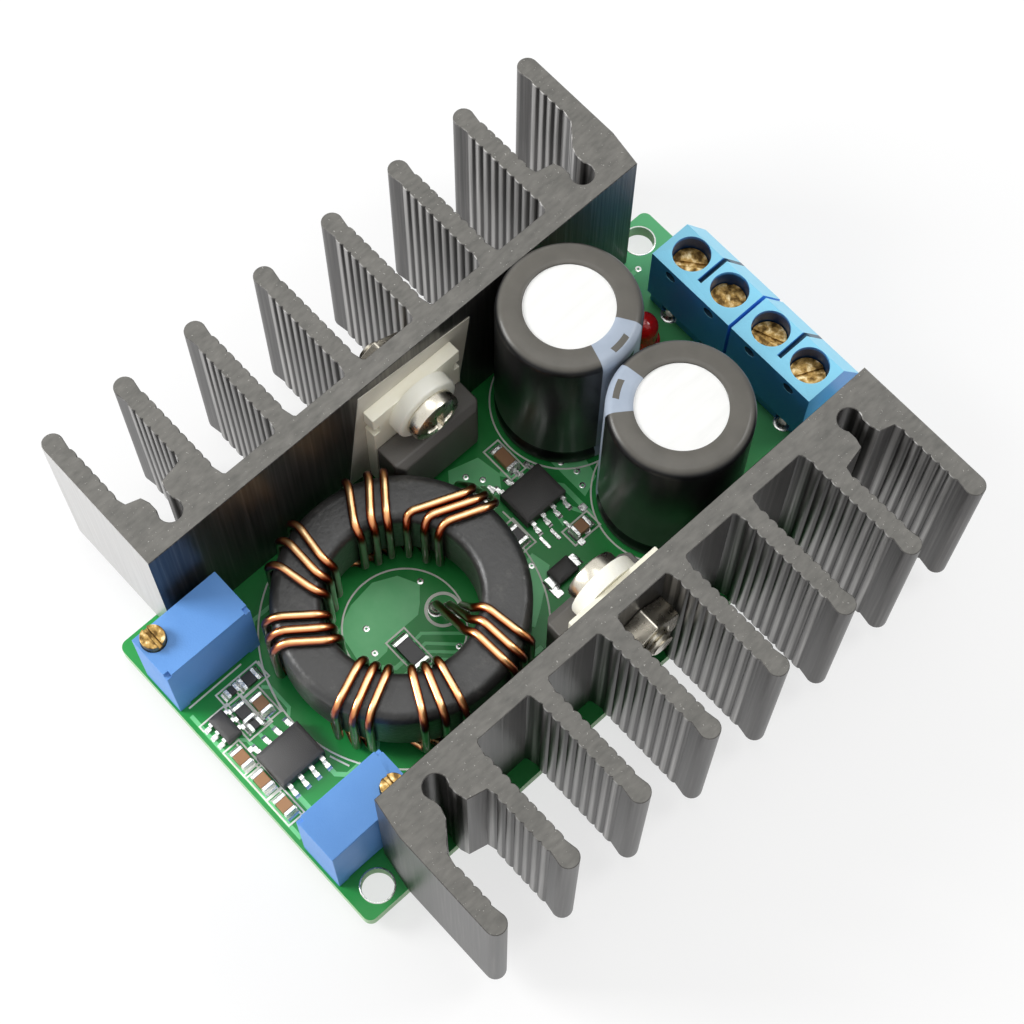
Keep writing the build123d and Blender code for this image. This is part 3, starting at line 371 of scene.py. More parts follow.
def joined(*shapes):
    """Several shapes as one: the points in a row, the faces counted on."""
    faces, start = [], 0
    for points, shape_faces in shapes:
        faces += [tuple(corner + start for corner in face) for face in shape_faces]
        start += len(points)
    return np.concatenate([points for points, _ in shapes]), faces


def wear(name, mesh, finish, body, smooth, replaced):
    """Gives a mesh its finish, its smooth faces and its place in the model."""
    if smooth:
        mesh.shade_smooth()
        mesh.set_sharp_from_angle(angle=radians(smooth))
    mesh.materials.clear()
    mesh.materials.append(finish.material)
    thing = bpy.data.objects.new(name, mesh)
    bpy.context.scene.collection.objects.link(thing)
    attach(thing, body)
    if replaced:
        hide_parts(*replaced)
    print(name, len(mesh.vertices), "points,", len(mesh.polygons), "faces")
    return thing


def piece(name, shape, finish, *replaced, smooth=35):
    """A mesh object at the origin, its points in the model's own place, which stands for
    the solids named."""
    points, faces = shape
    mesh = bpy.data.meshes.new(name)
    mesh.from_pydata(to_model(points).tolist(), [], faces)
    work = bmesh.new()
    work.from_mesh(mesh)
    bmesh.ops.remove_doubles(work, verts=work.verts, dist=MERGE)
    bmesh.ops.dissolve_degenerate(work, edges=work.edges, dist=MERGE / 2)
    bmesh.ops.recalc_face_normals(work, faces=work.faces)
    work.to_mesh(mesh)
    work.free()
    wear(name, mesh, finish, "module", smooth, replaced)


def circled(middle, radius, turn):
    """Points of the plane: x = middle + radius cos(turn), y = middle + radius sin(turn)."""
    return np.stack([middle[0] + radius * np.cos(turn), middle[1] + radius * np.sin(turn)], -1)


def spin(radius, height, middle, count):
    """A grid of points about an upright axis. Radius and height are columns or grids."""
    flat = circled(middle, radius, np.arange(count) * 2 * pi / count)
    return np.concatenate([flat, np.broadcast_to(height, flat.shape[:2])[..., None]], -1)


def revolved(profile, middle, count):
    """A profile of (radius, height) points carried round the upright axis."""
    radius, height = np.transpose(profile)[..., None]
    return walled(spin(radius, height, middle, count), False, False)


def arc(centre, radius, start, end, count=8):
    """Points on a circle's arc in the plane, from one angle in degrees to another."""
    return circled(centre, radius, np.radians(np.linspace(start, end, count)))


def square_to(ways):
    """The direction to the left of each direction in the plane."""
    return np.stack([-ways[:, 1], ways[:, 0]], -1)


def outward(outline):
    """The unit normal at each corner of a closed outline that runs anticlockwise."""
    edge = -square_to(unit(np.roll(outline, -1, 0) - outline))
    return unit(edge + np.roll(edge, 1, 0))


def at_height(flat, height):
    """Points of the plane, all put at one height."""
    return np.column_stack([flat, np.full(len(flat), height)])


def extruded(outline, low, high, bevel=0.0):
    """A closed outline carried upward. A bevel draws its first and last ring inward by that
    much, along each corner's normal, and leaves them that much short of the ends."""
    outline = np.asarray(outline, float)
    inner = outline - outward(outline) * bevel
    rings = [(inner, low), (outline, low + bevel), (outline, high - bevel), (inner, high)]
    return walled(np.stack([at_height(*ring) for ring in (rings if bevel else rings[1:3])]))


def turned_plan(points, x, y, turn):
    """Points turned by so many degrees about the upright axis, then moved to (x, y)."""
    points = np.array(points, float)
    c, s = cos(radians(turn)), sin(radians(turn))
    flat = points[..., :2] @ np.array([[c, s], [-s, c]]) + [x, y]
    return np.concatenate([flat, points[..., 2:]], -1)


print("mesh helpers ready")

# %% [markdown]
# The heatsinks are sawn from an anodised aluminium extrusion. Its walls are dark and
# streaked along the press direction, with a painted highlight on the ripples' crests. The
# sawn ends are matte and greyer. One material tells them apart by the way the surface faces
# and by its place on the plan. The left near end wall has a painted highlight, nearly white.

# %% Anodised aluminium
SINK_FACE, SINK_LENGTH, SINK_DEPTH, SINK_HEIGHT = 14.1, 58.0, 15.2, 19.5
BASE, FINS, FIN_PITCH, TIP = 2.0, 8, 8.0, 1.0
RIPPLE, RIPPLE_DEPTH, SMOOTH_TIP = 1.05, 0.17, 2.35
LAST_RIPPLE = SINK_DEPTH - SMOOTH_TIP
END_WALL = 0.7

anodised = Finish("dark_anodised")
streaks = anodised.noise(3.2, 4.0, (1, 1, 0.02))
mottle = anodised.noise(0.5)
saw = anodised.noise(2.6, 5.0, (1, 0.35, 1))
chips = anodised.step(anodised.noise(4.5, 1.0), 0.7, 0.78)
spot_x, spot_y, _ = anodised.axes(anodised.place())
_, facing_y, facing_z = anodised.facing()
depth = abs(spot_x) - SINK_FACE
sawn = anodised.step(abs(facing_z), 0.6, 0.85)
wave = abs(anodised.maths("SINE", (LAST_RIPPLE - depth) * (pi / RIPPLE)))
crest = anodised.step(wave, 0.55, 1.0)
rippled = (anodised.step(abs(facing_y), 0.15, 0.5) * (depth > BASE + 0.5)
           * (depth < LAST_RIPPLE - 0.05)
           * (spot_y > END_WALL) * (spot_y < SINK_LENGTH - 0.1))
# painted highlight: the left heatsink's near end wall is painted nearly white
end_wall_glare = (facing_y < -0.5) * (spot_y < END_WALL) * (spot_x < 0.1 - SINK_FACE)
wall = anodised.ramp(streaks, (0.3, (50, 49, 48)), (0.55, (78, 76, 75)),
                     (0.8, (110, 108, 106)))
# painted highlight: the ripples' crests are painted pale
crest_highlight = anodised.ramp(streaks, (0.3, (136, 134, 132)), (0.7, (206, 204, 202)))
bare_disc_and_end_glare = anodised.mix(streaks, (206, 205, 203), (244, 243, 242))
wall = anodised.mix(crest * rippled * 0.8, wall, crest_highlight)
wall = anodised.mix(end_wall_glare * 0.75, wall, bare_disc_and_end_glare)
cut = anodised.ramp(saw * 0.6 + mottle * 0.4, (0.3, (88, 87, 83)),
                    (0.7, (116, 114, 109)))
cut = anodised.mix(chips * 0.7, cut, (190, 188, 182))
anodised.set(Base_Color=anodised.mix(sawn, wall, cut), Metallic=0.8 - sawn * 0.7,
             Roughness=0.36 + sawn * 0.3 + (streaks - 0.5) * 0.1)
anodised.bump((saw * 0.6 + chips * 0.8) * sawn + streaks * (1 - sawn) * 0.5, 0.05)
print("anodised finish ready")

# %% [markdown]
# The extrusion's section is what makes the heatsink: eight fins whose sides are rippled to
# add area, round tips, and near each end a keyhole channel that takes a screw. The
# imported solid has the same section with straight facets. Here each ripple becomes a row of
# round scallops with a sharp valley between them, and the fin ends become true arcs.

# %% Heatsink section
ROOT_HALF, CREST_HALF = 1.05, 0.95
END_SLOPE, FILLET, SAW_BURR = (3.8, 0.6), 0.2, 0.07
KEY_RADIUS, KEY_DEPTH, KEY_SHIFT = 1.12, 2.6, 0.45
THROAT_HALF, THROAT_DEPTH, LIP_HALF, LIP_DEPTH = 0.85, 4.3, 1.15, 5.15
LIP_CORNER, FLANK_DEPTH = 5.6, 7.3


def rippled_side(fin, side, start):
    """From the tip inward to a depth: half thickness = valley + depth * sqrt|sin|, so each
    ripple is a round scallop between two sharp valleys."""
    ripples = int((LAST_RIPPLE - start) / RIPPLE + 1e-6)
    depth = LAST_RIPPLE - np.arange(ripples * 8 + 1) / 8 * RIPPLE
    wave = np.sqrt(np.abs(np.sin(pi * (LAST_RIPPLE - depth) / RIPPLE)))
    half = CREST_HALF - RIPPLE_DEPTH + RIPPLE_DEPTH * wave
    return np.column_stack([depth, TIP + fin * FIN_PITCH + side * half])


def keyhole_edge(centre, near_wall, far_wall, flanked):
    """The channel's edge from the fin before it, round its circle, to the fin after it."""
    grip = np.degrees(np.arcsin(THROAT_HALF / KEY_RADIUS))
    circle = arc((KEY_DEPTH, centre), KEY_RADIUS, -grip, -360 + grip, 22)
    before = [(FLANK_DEPTH if flanked else LIP_CORNER, near_wall), (LIP_DEPTH, centre - LIP_HALF),
              (THROAT_DEPTH, centre - THROAT_HALF)]
    after = [(THROAT_DEPTH, centre + THROAT_HALF), (LIP_DEPTH, centre + LIP_HALF),
             (LIP_CORNER, far_wall)]
    return np.concatenate([before, circle, after])


def sink_section():
    """The closed section as (depth from the inner face, length along the board)."""
    runs = [[(0, SINK_LENGTH), (0, END_SLOPE[1]), (END_SLOPE[0], 0)]]
    for fin in range(FINS):
        middle = TIP + fin * FIN_PITCH
        if fin:
            root = LIP_CORNER if fin in (1, FINS - 1) else BASE
            runs.append(rippled_side(fin, -1, root + RIPPLE / 2)[::-1])
        first, last = (-90 if fin == 0 else -108), (90 if fin == FINS - 1 else 108)
        runs.append(arc((SINK_DEPTH - TIP, middle), TIP, first, last, 15))
        if fin == FINS - 1:
            break
        near_wall = middle + ROOT_HALF
        far_wall = near_wall + FIN_PITCH - 2 * ROOT_HALF
        edge_gap = fin in (0, FINS - 2)
        root = FLANK_DEPTH if fin == 0 else LIP_CORNER if edge_gap else BASE
        runs.append(rippled_side(fin, 1, root + RIPPLE / 2))
        if edge_gap:
            centre = (near_wall + far_wall) / 2 + (0 if fin == 0 else KEY_SHIFT)
            runs.append(keyhole_edge(centre, near_wall, far_wall, fin == 0))
        else:
            runs.append([(BASE + FILLET, near_wall), (BASE, near_wall + FILLET),
                         (BASE, far_wall - FILLET), (BASE + FILLET, far_wall)])
    return np.concatenate([np.asarray(run, float) for run in runs])


def half_turned(points):
    """Points half a turn round the board's middle, from the right-hand side to the left."""
    return np.array([0, SINK_LENGTH, 0]) + points * [-1, -1, 1]


section = sink_section()
bar, faces = extruded(section + [SINK_FACE, 0], 0.0, SINK_HEIGHT, SAW_BURR)
piece("rippled_heatsink_right", (bar, faces), anodised, "heatsink_right")
piece("rippled_heatsink_left", (half_turned(bar), faces), anodised, "heatsink_left")
print("section corners:", len(section))

# %% [markdown]
# The choke's core is a pressed ring in a hard dark coating, rounded at its edges. Its shape
# is a rounded rectangle carried round an axis. The coating has the soft sheen of paint over
# powder, a little orange peel and some paler scuffs, so the finish is mostly roughness.

# %% Coated core
CORE_X, CORE_Y, CORE_OUTER, CORE_INNER = -0.6, 16.1, 11.8, 7.1
CORE_LOW, CORE_HIGH, CORE_ROUND = 1.7, 9.25, 1.05

coating = Finish("core_coating", Coat_Weight=0.25, Coat_Roughness=0.35)
peel = coating.noise(2.2, 4.0)
scuffs = coating.step(coating.noise(0.35, 5.0, rough=0.7), 0.5, 0.8)
coating.set(Base_Color=coating.mix(scuffs, (42, 42, 41), (84, 83, 80)),
            Roughness=0.4 + (peel - 0.5) * 0.25 + scuffs * 0.1)
coating.bump(peel, 0.05)

# each edge's arc: its distance and height, and the angle at which it starts
edges = [(CORE_OUTER - CORE_ROUND, CORE_LOW + CORE_ROUND, -90),
         (CORE_OUTER - CORE_ROUND, CORE_HIGH - CORE_ROUND, 0),
         (CORE_INNER + CORE_ROUND, CORE_HIGH - CORE_ROUND, 90),
         (CORE_INNER + CORE_ROUND, CORE_LOW + CORE_ROUND, 180)]
core_profile = np.concatenate([arc((r, z), CORE_ROUND, at, at + 90) for r, z, at in edges])
core_profile = np.concatenate([core_profile, core_profile[:1]])
piece("coated_core", revolved(core_profile, (CORE_X, CORE_Y), 128), coating, "choke_core")

# %% [markdown]
# Three enamelled copper wires lie side by side and go seven times round the core. Their
# route is worked out from one list of angles, as on the solids: over the core, down
# through the hole, and out beneath to the next turn. The corners of the route are then
# rounded by a running mean along it, and a circle is carried along the result. Enamel is
# plain copper under a clear red-brown coat, so it is metal with a coat. Its colour is painted
# shade where it faces down and a painted highlight where it faces up.

# %% Copper winding
WIRE, WIRE_GAP, CORNER_CUT = 0.42, 0.06, 0.65
CORE_BEVEL, UNDER_DROP, END_RISE, TAIL_END, END_PITCH = 1.1, 0.72, 1.6, -2.8, 1.2
CORNERS_IN_ORDER = [4, 5, 6, 7, 0, 1, 2, 3]
UNDER_BENDS = ((0, 0), (0.15, 0.05), (0.5, 0.5), (1, 1))
STRAND_TURNS = np.array([
    [(106, 134), (163, 171), (214, 226), (252, 263), (305, 309), (346, 346), (388, 398)],
    [(100, 120), (153, 159), (202, 214), (246, 253), (298, 299), (337, 336), (380, 388)],
    [(94, 108), (146, 148), (193, 203), (239, 243), (290, 289), (328, 326), (373, 378)],
], float)
START_SLOT, FINISH_SLOT = (-6.4, 29.6, 37.0), (0.9, 20.3, 43.0)

copper = Finish("copper_wire", Metallic=1.0, Coat_Weight=0.9, Coat_Roughness=0.07)
tint = copper.noise(1.1)
# painted shade and painted highlight: dark red-brown where the wire faces down, cream where it
# faces up
upward = copper.facing()[2] + (tint - 0.5) * 0.1
copper.set(
    Base_Color=copper.ramp(upward, (0.1, (92, 34, 18)), (0.62, (168, 76, 36)),
                           (0.86, (236, 164, 100)), (0.98, (255, 216, 158))),
    Roughness=0.25 + tint * 0.1,
)
copper.bump(tint, 0.02)


def round_core(radius, angle, height):
    """Points beside the core, from distance and angle about its axis."""
    return at_height(circled((CORE_X, CORE_Y), radius, np.radians(angle)), height)


def slot_end(slot, along, height):
    """A point over or under one of the soldered slots."""
    return at_height([circled(slot, along, radians(slot[2]))], height)


def strand_route(strand):
    """The corners of one wire: per turn four runs beneath, then four corners over the core."""
    reach = WIRE + WIRE_GAP
    outside, inside = CORE_OUTER + reach, CORE_INNER - reach
    over, under = CORE_HIGH + reach, CORE_LOW - reach - (UNDER_DROP if strand == 1 else 0)
    cut = (CORE_BEVEL + reach) * CORNER_CUT
    outer, inner = STRAND_TURNS[strand].T
    above = np.stack([
        round_core(outside, outer, over - cut), round_core(outside - cut, outer, over),
        round_core(inside + cut, inner, over), round_core(inside, inner, over - cut),
    ], 1)
    below = np.stack([
        round_core(inside + (outside - inside) * outward_share,
                   inner[:-1] + (outer[1:] - inner[:-1]) * onward, under)
        for outward_share, onward in UNDER_BENDS
    ], 1)
    turns = np.concatenate([above[1:], below], 1)[:, CORNERS_IN_ORDER].reshape(-1, 3)
    start, finish = (strand - 1) * END_PITCH, (1 - strand) * END_PITCH
    return np.concatenate([
        slot_end(START_SLOT, start, TAIL_END), slot_end(START_SLOT, start, END_RISE),
        above[0], turns,
        slot_end(FINISH_SLOT, finish, END_RISE), slot_end(FINISH_SLOT, finish, TAIL_END),
    ])


def eased(route, spacing=0.3, window=5):
    """The route at even spacing, each point the mean of its neighbours in a window. The ends
    are held by repeating them."""
    length = np.concatenate([[0], np.cumsum(np.linalg.norm(np.diff(route, axis=0), axis=1))])
    at = np.linspace(0, length[-1], int(length[-1] / spacing))
    even = np.stack([np.interp(at, length, axis) for axis in route.T], -1)
    padded = np.pad(even, ((window // 2, window // 2), (0, 0)), mode="edge")
    kernel = np.ones(window) / window
    return np.stack([np.convolve(axis, kernel, "valid") for axis in padded.T], -1)


def tube(path, radius, side, sides=12):
    """A circle carried along a path: point + radius (cos turn side + sin turn other), where
    the side direction is made square to the path. The ends close with flat caps."""
    ahead = unit(np.gradient(path, axis=0))
    side = unit(side - ahead * np.sum(side * ahead, 1, keepdims=True))
    other = np.cross(ahead, side)
    turn = (np.arange(sides) * 2 * pi / sides)[:, None]
    ring = radius * (np.cos(turn) * side[:, None] + np.sin(turn) * other[:, None])
    return walled(path[:, None] + ring)


for strand in range(3):
    path = eased(strand_route(strand))
    spoke = path - [CORE_X, CORE_Y, 0]
    circling = np.stack([-spoke[:, 1], spoke[:, 0], np.zeros(len(path))], -1)
    piece(f"copper_strand_{strand + 1}", tube(path, WIRE, circling), copper,
          f"choke_strand_{strand + 1}", smooth=60)

# %% [markdown]
# Each capacitor is an aluminium can in a shrunk sleeve. The sleeve is black and glossy, and
# its rim leaves an uncovered disc on top. Faces that point up, over the rounded shoulder, are
# painted paler grey as a painted highlight. A pale stripe with a row of minus marks runs down
# the side of the negative lead. The stripe and the marks are masks on the angle and height
# about the can's own axis, so they stay sharp at any size.

# %% Capacitors
CAN, CAN_TOP, DISC, SHOULDER = 6.65, 20.5, 4.2, 0.95
CANS = {"left": (-7.44, 42.65, 8.0, 25.0, 0.0), "right": (6.17, 43.21, -149.0, 23.0, 30.0)}
MARK_PITCH, MARK_HEIGHT, MARK_HALF_TURN = 5.2, 0.7, 9.0
TOP_MARK, TOP_MARK_HALF, TOP_MARK_SIDE = 5.75, 0.3, 0.95
GROOVE = ((0, 1.6), (0.22, 1.95), (0.3, 2.3), (0.22, 2.65), (0, 3.0))


def sleeve_finish(name, x, y, stripe, half_stripe):
    """Glossy black with a pale stripe centred on an angle, a painted highlight on upward faces
    and an uncovered disc on top.
    """
    sleeve = Finish(name, "capacitor_sleeve", Coat_Weight=0.08, Coat_Roughness=0.12,
                    Specular_IOR_Level=0.2)
    spot_x, spot_y, spot_z = sleeve.axes(sleeve.place((x, y, 0)))
    c, s = cos(radians(stripe)), sin(radians(stripe))
    along, across = spot_x * c + spot_y * s, spot_y * c - spot_x * s
    angle = abs(sleeve.maths("ARCTAN2", across, along)) * (180 / pi)
    band = sleeve.step(angle, half_stripe, half_stripe - 0.8)
    cycle = abs(sleeve.maths("FRACT", spot_z / MARK_PITCH) - 0.5) * MARK_PITCH
    minus = (cycle < MARK_HEIGHT / 2) * (angle < MARK_HALF_TURN) * (spot_z < CAN_TOP - 1.2)
    radius = sleeve.distance(spot_x, spot_y)
    top_minus = ((abs(radius - TOP_MARK) < TOP_MARK_HALF) * (abs(across) < TOP_MARK_SIDE)
                 * (along > 0) * (spot_z > CAN_TOP - 0.5))
    bare_disc_and_end_glare = (radius < DISC - 0.02) * (spot_z > CAN_TOP - 1)
    smear = sleeve.noise(0.6, 4.0, (1, 1, 0.3))
    brushed = sleeve.noise(1.4, 4.0, (1, 0.15, 1))
    dark = sleeve.mix(smear, (12, 12, 13), (24, 24, 25))
    # painted highlight: faces that point up, over the shoulder and the top rim, get a paler grey
    painted_top_light = sleeve.mix(smear, (86, 84, 79), (104, 101, 95))
    dark = sleeve.mix(sleeve.step(sleeve.facing()[2], 0.55, 0.95), dark, painted_top_light)
    pale = sleeve.mix(smear, (146, 158, 174), (172, 182, 196))
    printed = sleeve.mix(band * (1 - minus) * (1 - top_minus), dark, pale)
    metal = sleeve.mix(brushed, (226, 226, 224), (240, 240, 238))
    sleeve.set(Base_Color=sleeve.mix(bare_disc_and_end_glare, printed, metal), Metallic=bare_disc_and_end_glare * 0.1,
               Roughness=0.26 + bare_disc_and_end_glare * 0.3 + smear * 0.1)
    return sleeve.bump(smear, 0.03)


can_profile = np.concatenate([
    [(0, 0.6), (4.8, 0.6), (5.0, 0.25)],
    arc((CAN - 0.5, 0.5), 0.5, -90, 0, 6),
    [(CAN - depth, height) for depth, height in GROOVE],
    arc((CAN - SHOULDER, CAN_TOP - SHOULDER), SHOULDER, 0, 80, 9),
    [(DISC + 0.5, CAN_TOP), (DISC + 0.12, CAN_TOP - 0.02), (DISC, CAN_TOP - 0.1),
     (DISC - 0.03, CAN_TOP - 0.22), (DISC - 0.5, CAN_TOP - 0.2), (2.0, CAN_TOP - 0.16),
     (0, CAN_TOP - 0.15)],
])
for side, (x, y, stripe, half_stripe, _) in CANS.items():
    sleeve = sleeve_finish(f"capacitor_sleeve_{side}", x, y, stripe, half_stripe)
    piece(f"sleeved_can_{side}", revolved(can_profile, (x, y), 128), sleeve,
          f"capacitor_{side}_body")

# %% [markdown]
# Moulded and stamped parts already have the right shape as solids, but no real edge is
# knife-sharp. A merged copy of the solid's mesh, with a narrow Bevel modifier on its sharp
# edges, gives each edge the thin line of light that a moulded edge shows.

# %% Edge-rounded copies of solids
FLAT_MERGE, FLAT_TURN, EDGE_TURN = 2e-6, 0.5, 32


def softened(node, finish, width, body="module", reshape=None):
    """A copy of a solid with merged flat faces and a live bevel of so many millimetres. A
    function may first move the copy's points, given in plan millimetres."""
    name = f"soft_{node}"
    work = bmesh.new()
    work.from_mesh(frame["nodes"][node].data)
    bmesh.ops.remove_doubles(work, verts=work.verts, dist=FLAT_MERGE)
    bmesh.ops.dissolve_limit(work, angle_limit=radians(FLAT_TURN), verts=work.verts,
                             edges=work.edges)
    mesh = bpy.data.meshes.new(name)
    work.to_mesh(mesh)
    work.free()
    if reshape:
        points = np.empty(len(mesh.vertices) * 3)
        mesh.vertices.foreach_get("co", points)
        points = reshape(points.reshape(-1, 3) / MM - PLAN_ORIGIN)
        mesh.vertices.foreach_set("co", to_model(points).ravel())
    thing = wear(name, mesh, finish, body, EDGE_TURN, [node])
    bevel = thing.modifiers.new("rounded_edges", "BEVEL")
    bevel.width, bevel.segments = width * MM, 2
    bevel.limit_method, bevel.angle_limit = "ANGLE", radians(EDGE_TURN)
    bevel.harden_normals = True


def dressed(finish, *nodes):
    """Solids that keep their own shape and only get a finish."""
    for node in nodes:
        frame["nodes"][node].material_slots[0].material = finish.material


print("edge helpers ready")

# %% [markdown]
# The terminal blocks are sky blue nylon, with painted shade on their upright sides, which are
# darker and bluer. The wells and grooves are painted darker, as painted shade where little
# light comes. Their screws are brass, sunk in the wells, and turn as bodies of their own.
# Steel cages rise inside when the screws turn.

# %% Terminal blocks
TOP, TOP_DEPTH, BACK, FRONT = 10.3, 4.6, 55.8, 63.4
NOSE_SOLID, NOSE_STEEP = 8.3, 5.4
HEAD_SEAT, HEAD_SHARE = 7.7, 0.45
POLES, WELL_Y, WELL, RIBS = (-7.11, -2.03, 3.40, 8.48), 58.5, 1.85, (-4.57, 5.94)
DIMPLE_Z, DIMPLE_HALF, DIMPLE_END = 9.1, 0.7, 56.5
RIB_HALF, RIB_START, DEEPEST = 0.28, 56.9, 0.88

nylon = Finish("terminal_blue", Specular_IOR_Level=0.3)
patches, fine = nylon.noise(0.25), nylon.noise(6.0)
spot_x, spot_y, spot_z = nylon.axes(nylon.place())
below = nylon.step(spot_z, TOP - 0.08, TOP - 0.7)
# painted shade: wells, dimples and rib slots below the top are painted dark navy
recess = 0.0
for pole in POLES:
    off_x = spot_x - pole
    well = nylon.distance(off_x, spot_y - WELL_Y) < WELL + 0.03
    dimple = ((abs(off_x) < DIMPLE_HALF) * (abs(spot_z - DIMPLE_Z) < DIMPLE_HALF)
              * (spot_y < DIMPLE_END) * (spot_y > BACK + 0.05))
    recess = recess + well * below + dimple
for rib in RIBS:
    recess = recess + (abs(spot_x - rib) < RIB_HALF) * (spot_y > RIB_START) * below
sky = nylon.mix(patches, (140, 220, 252), (156, 228, 255))
# painted shade: upright sides get a darker, bluer copy of the nylon's colour
sky = nylon.mix(nylon.step(nylon.facing()[2], 0.1, 0.5), (76, 168, 252), sky)
shade = nylon.maths("MINIMUM", recess, DEEPEST)
nylon.set(Base_Color=nylon.mix(shade, sky, (8, 34, 62)),
          Roughness=0.4 + (fine - 0.5) * 0.12)
nylon.bump(fine, 0.02)

brass = Finish("brass_screw", Metallic=1.0)
tarnish = brass.noise(1.3, 3.0, rough=0.55)
brass.set(
    Base_Color=brass.ramp(tarnish, (0.38, (96, 74, 42)), (0.54, (182, 148, 88)),
                          (0.7, (250, 232, 184))),
    Roughness=0.24 + tarnish * 0.2,
)
brass.bump(tarnish, 0.04)

plating = patchy("plated_steel", (196, 190, 174), (230, 225, 212), 0.9, 4.0, 0.18, 0.2, 0.02,
                 Metallic=1.0)


def steep_nose(points):
    """Points on the slope past the flat top move to a steeper slope: its foot goes down, and
    a point between keeps its height, with y = top edge + drop / steepness."""
    y, z = points[:, 1], points[:, 2]
    edge, reach = BACK + TOP_DEPTH, FRONT - BACK - TOP_DEPTH
    on_slope = np.abs(z - TOP + (y - edge) * (TOP - NOSE_SOLID) / reach) < 0.02
    foot = on_slope & (y > FRONT - 0.05)
    between = on_slope & ~foot & (y > edge + 0.05)
    points[foot, 2] = NOSE_STEEP
    points[between, 1] = edge + (TOP - z[between]) * reach / (TOP - NOSE_STEEP)
    return points


def sunk_head(points):
    """A clamp screw's head thinned towards its seat, so that it lies deep in its well."""
    head = points[:, 2] > HEAD_SEAT
    points[head, 2] = HEAD_SEAT + (points[head, 2] - HEAD_SEAT) * HEAD_SHARE
    return points


for side in ("left", "right"):
    softened(f"terminal_{side}_housing", nylon, 0.14, reshape=steep_nose)
for number in range(1, 5):
    for kind, finish, width, reshape in (("clamp_screw", brass, 0.08, sunk_head),
                                         ("clamp_cage", plating, 0.06, None)):
        softened(f"{kind}_{number}", finish, width, f"{kind}_{number}_body", reshape)
dressed(plating, "terminal_contacts")
print("terminals dressed")

# %% [markdown]
# The trimming potentiometers are sealed blue boxes on two feet, with a slotted brass screw
# at one end that turns the wiper. Their faces are moulded with a fine satin grain.

# %% Trimmers
trimmer_blue = plastic("trimmer_blue", (84, 140, 208), (100, 154, 220), rough=0.5)
for side in ("left", "right"):
    softened(f"trimmer_{side}_body", trimmer_blue, 0.14)
    softened(f"trimmer_{side}_screw", brass, 0.08, f"trimmer_{side}_screw_body")
print("trimmers dressed")

# %% [markdown]
# Power transistors: a matte black moulded case in front of a tinned copper tab. Between tab
# and heatsink lies a thin translucent film, and a moulded bush keeps the screw off the tab.

# %% Transistors and their insulation
moulded = {"rough": 0.5, "grain": 2.5, "depth": 0.03}
moulding = plastic("black_moulding", (60, 59, 58), (80, 78, 76), **moulded)
# painted light: the transistor cases take a paler copy of the black moulding, painted lighter for
# the light on their upper faces
lit_case_moulding = plastic("transistor_moulding", (84, 82, 78), (104, 101, 97), **moulded,
                        slot="black_moulding")
tinned = patchy("tinned_tab", (248, 244, 222), (255, 252, 238), 0.7, 5.0, 0.4, 0.2, 0.03,
                Metallic=0.12)
film = patchy("insulating_film", (220, 214, 200), (238, 234, 222), 0.3, 3.0, 0.32)
film.set(Alpha=0.74 + film.patch * 0.12)
bush_white = plastic("white_bush", (248, 246, 230), (255, 254, 244), rough=0.38,
                     Subsurface_Weight=0.1, Subsurface_Radius=(0.001, 0.0009, 0.0007))

for side in ("left", "right"):
    softened(f"transistor_{side}_case", lit_case_moulding, 0.2)
    softened(f"transistor_{side}_tab", tinned, 0.12)
    dressed(film, f"insulating_film_{side}")
print("transistors dressed")

# %% [markdown]
# The bush, its screw and the nut lie along X, so their profiles are turned round that axis.
# The screw's pan head is a dome whose cross recess is part of the same surface: the dome's
# height less a smooth trench along each of two lines. The thread is a helix: at each step
# round, the radius follows a triangle wave of the distance along less the turn's lead.

# %% Bushes, screws and nuts
SCREW_Z, MIDDLE_Y = 12.35, 29.0
TAB_FRONT, BUSH_RIM, HEAD_RIM, SCREW_END = 12.7, 11.2, 9.4, 19.3
BUSH_OUTER, BUSH_TUBE, SCREW_BORE = 3.4, 1.78, 1.52
HEAD, SHANK, THREAD_PITCH, THREAD_DEPTH = 2.6, 1.45, 0.5, 0.22
HEAD_FLANK, CROWN, BUSH_ROUND, BUSH_END = 0.75, 0.55, 0.25, 13.99
CROSS_HALF, CROSS_REACH, CROSS_DEPTH = 0.38, 1.5, 0.9


def spin_across(radius, x, count):
    """A grid of points about the screw's axis, which lies along X."""
    return spin(radius, x, (MIDDLE_Y, SCREW_Z), count)[..., [2, 0, 1]]


def both_sides(shape):
    """The right-hand shape with its half-turned twin on the left."""
    points, faces = shape
    return joined(shape, (half_turned(points), faces))


bush_profile = np.concatenate([
    [(SCREW_BORE, BUSH_RIM), (BUSH_OUTER - BUSH_ROUND, BUSH_RIM)],
    arc((BUSH_OUTER - BUSH_ROUND, BUSH_RIM + BUSH_ROUND), BUSH_ROUND, -90, 0, 5),
    [(BUSH_OUTER, TAB_FRONT), (BUSH_TUBE, TAB_FRONT), (BUSH_TUBE, BUSH_END),
     (SCREW_BORE, BUSH_END), (SCREW_BORE, BUSH_RIM)],
])
bush_grid = spin_across(*bush_profile.T[..., None], 64)
piece("shouldered_bushes", both_sides(walled(bush_grid, False, False)), bush_white,
      "insulating_bushes")


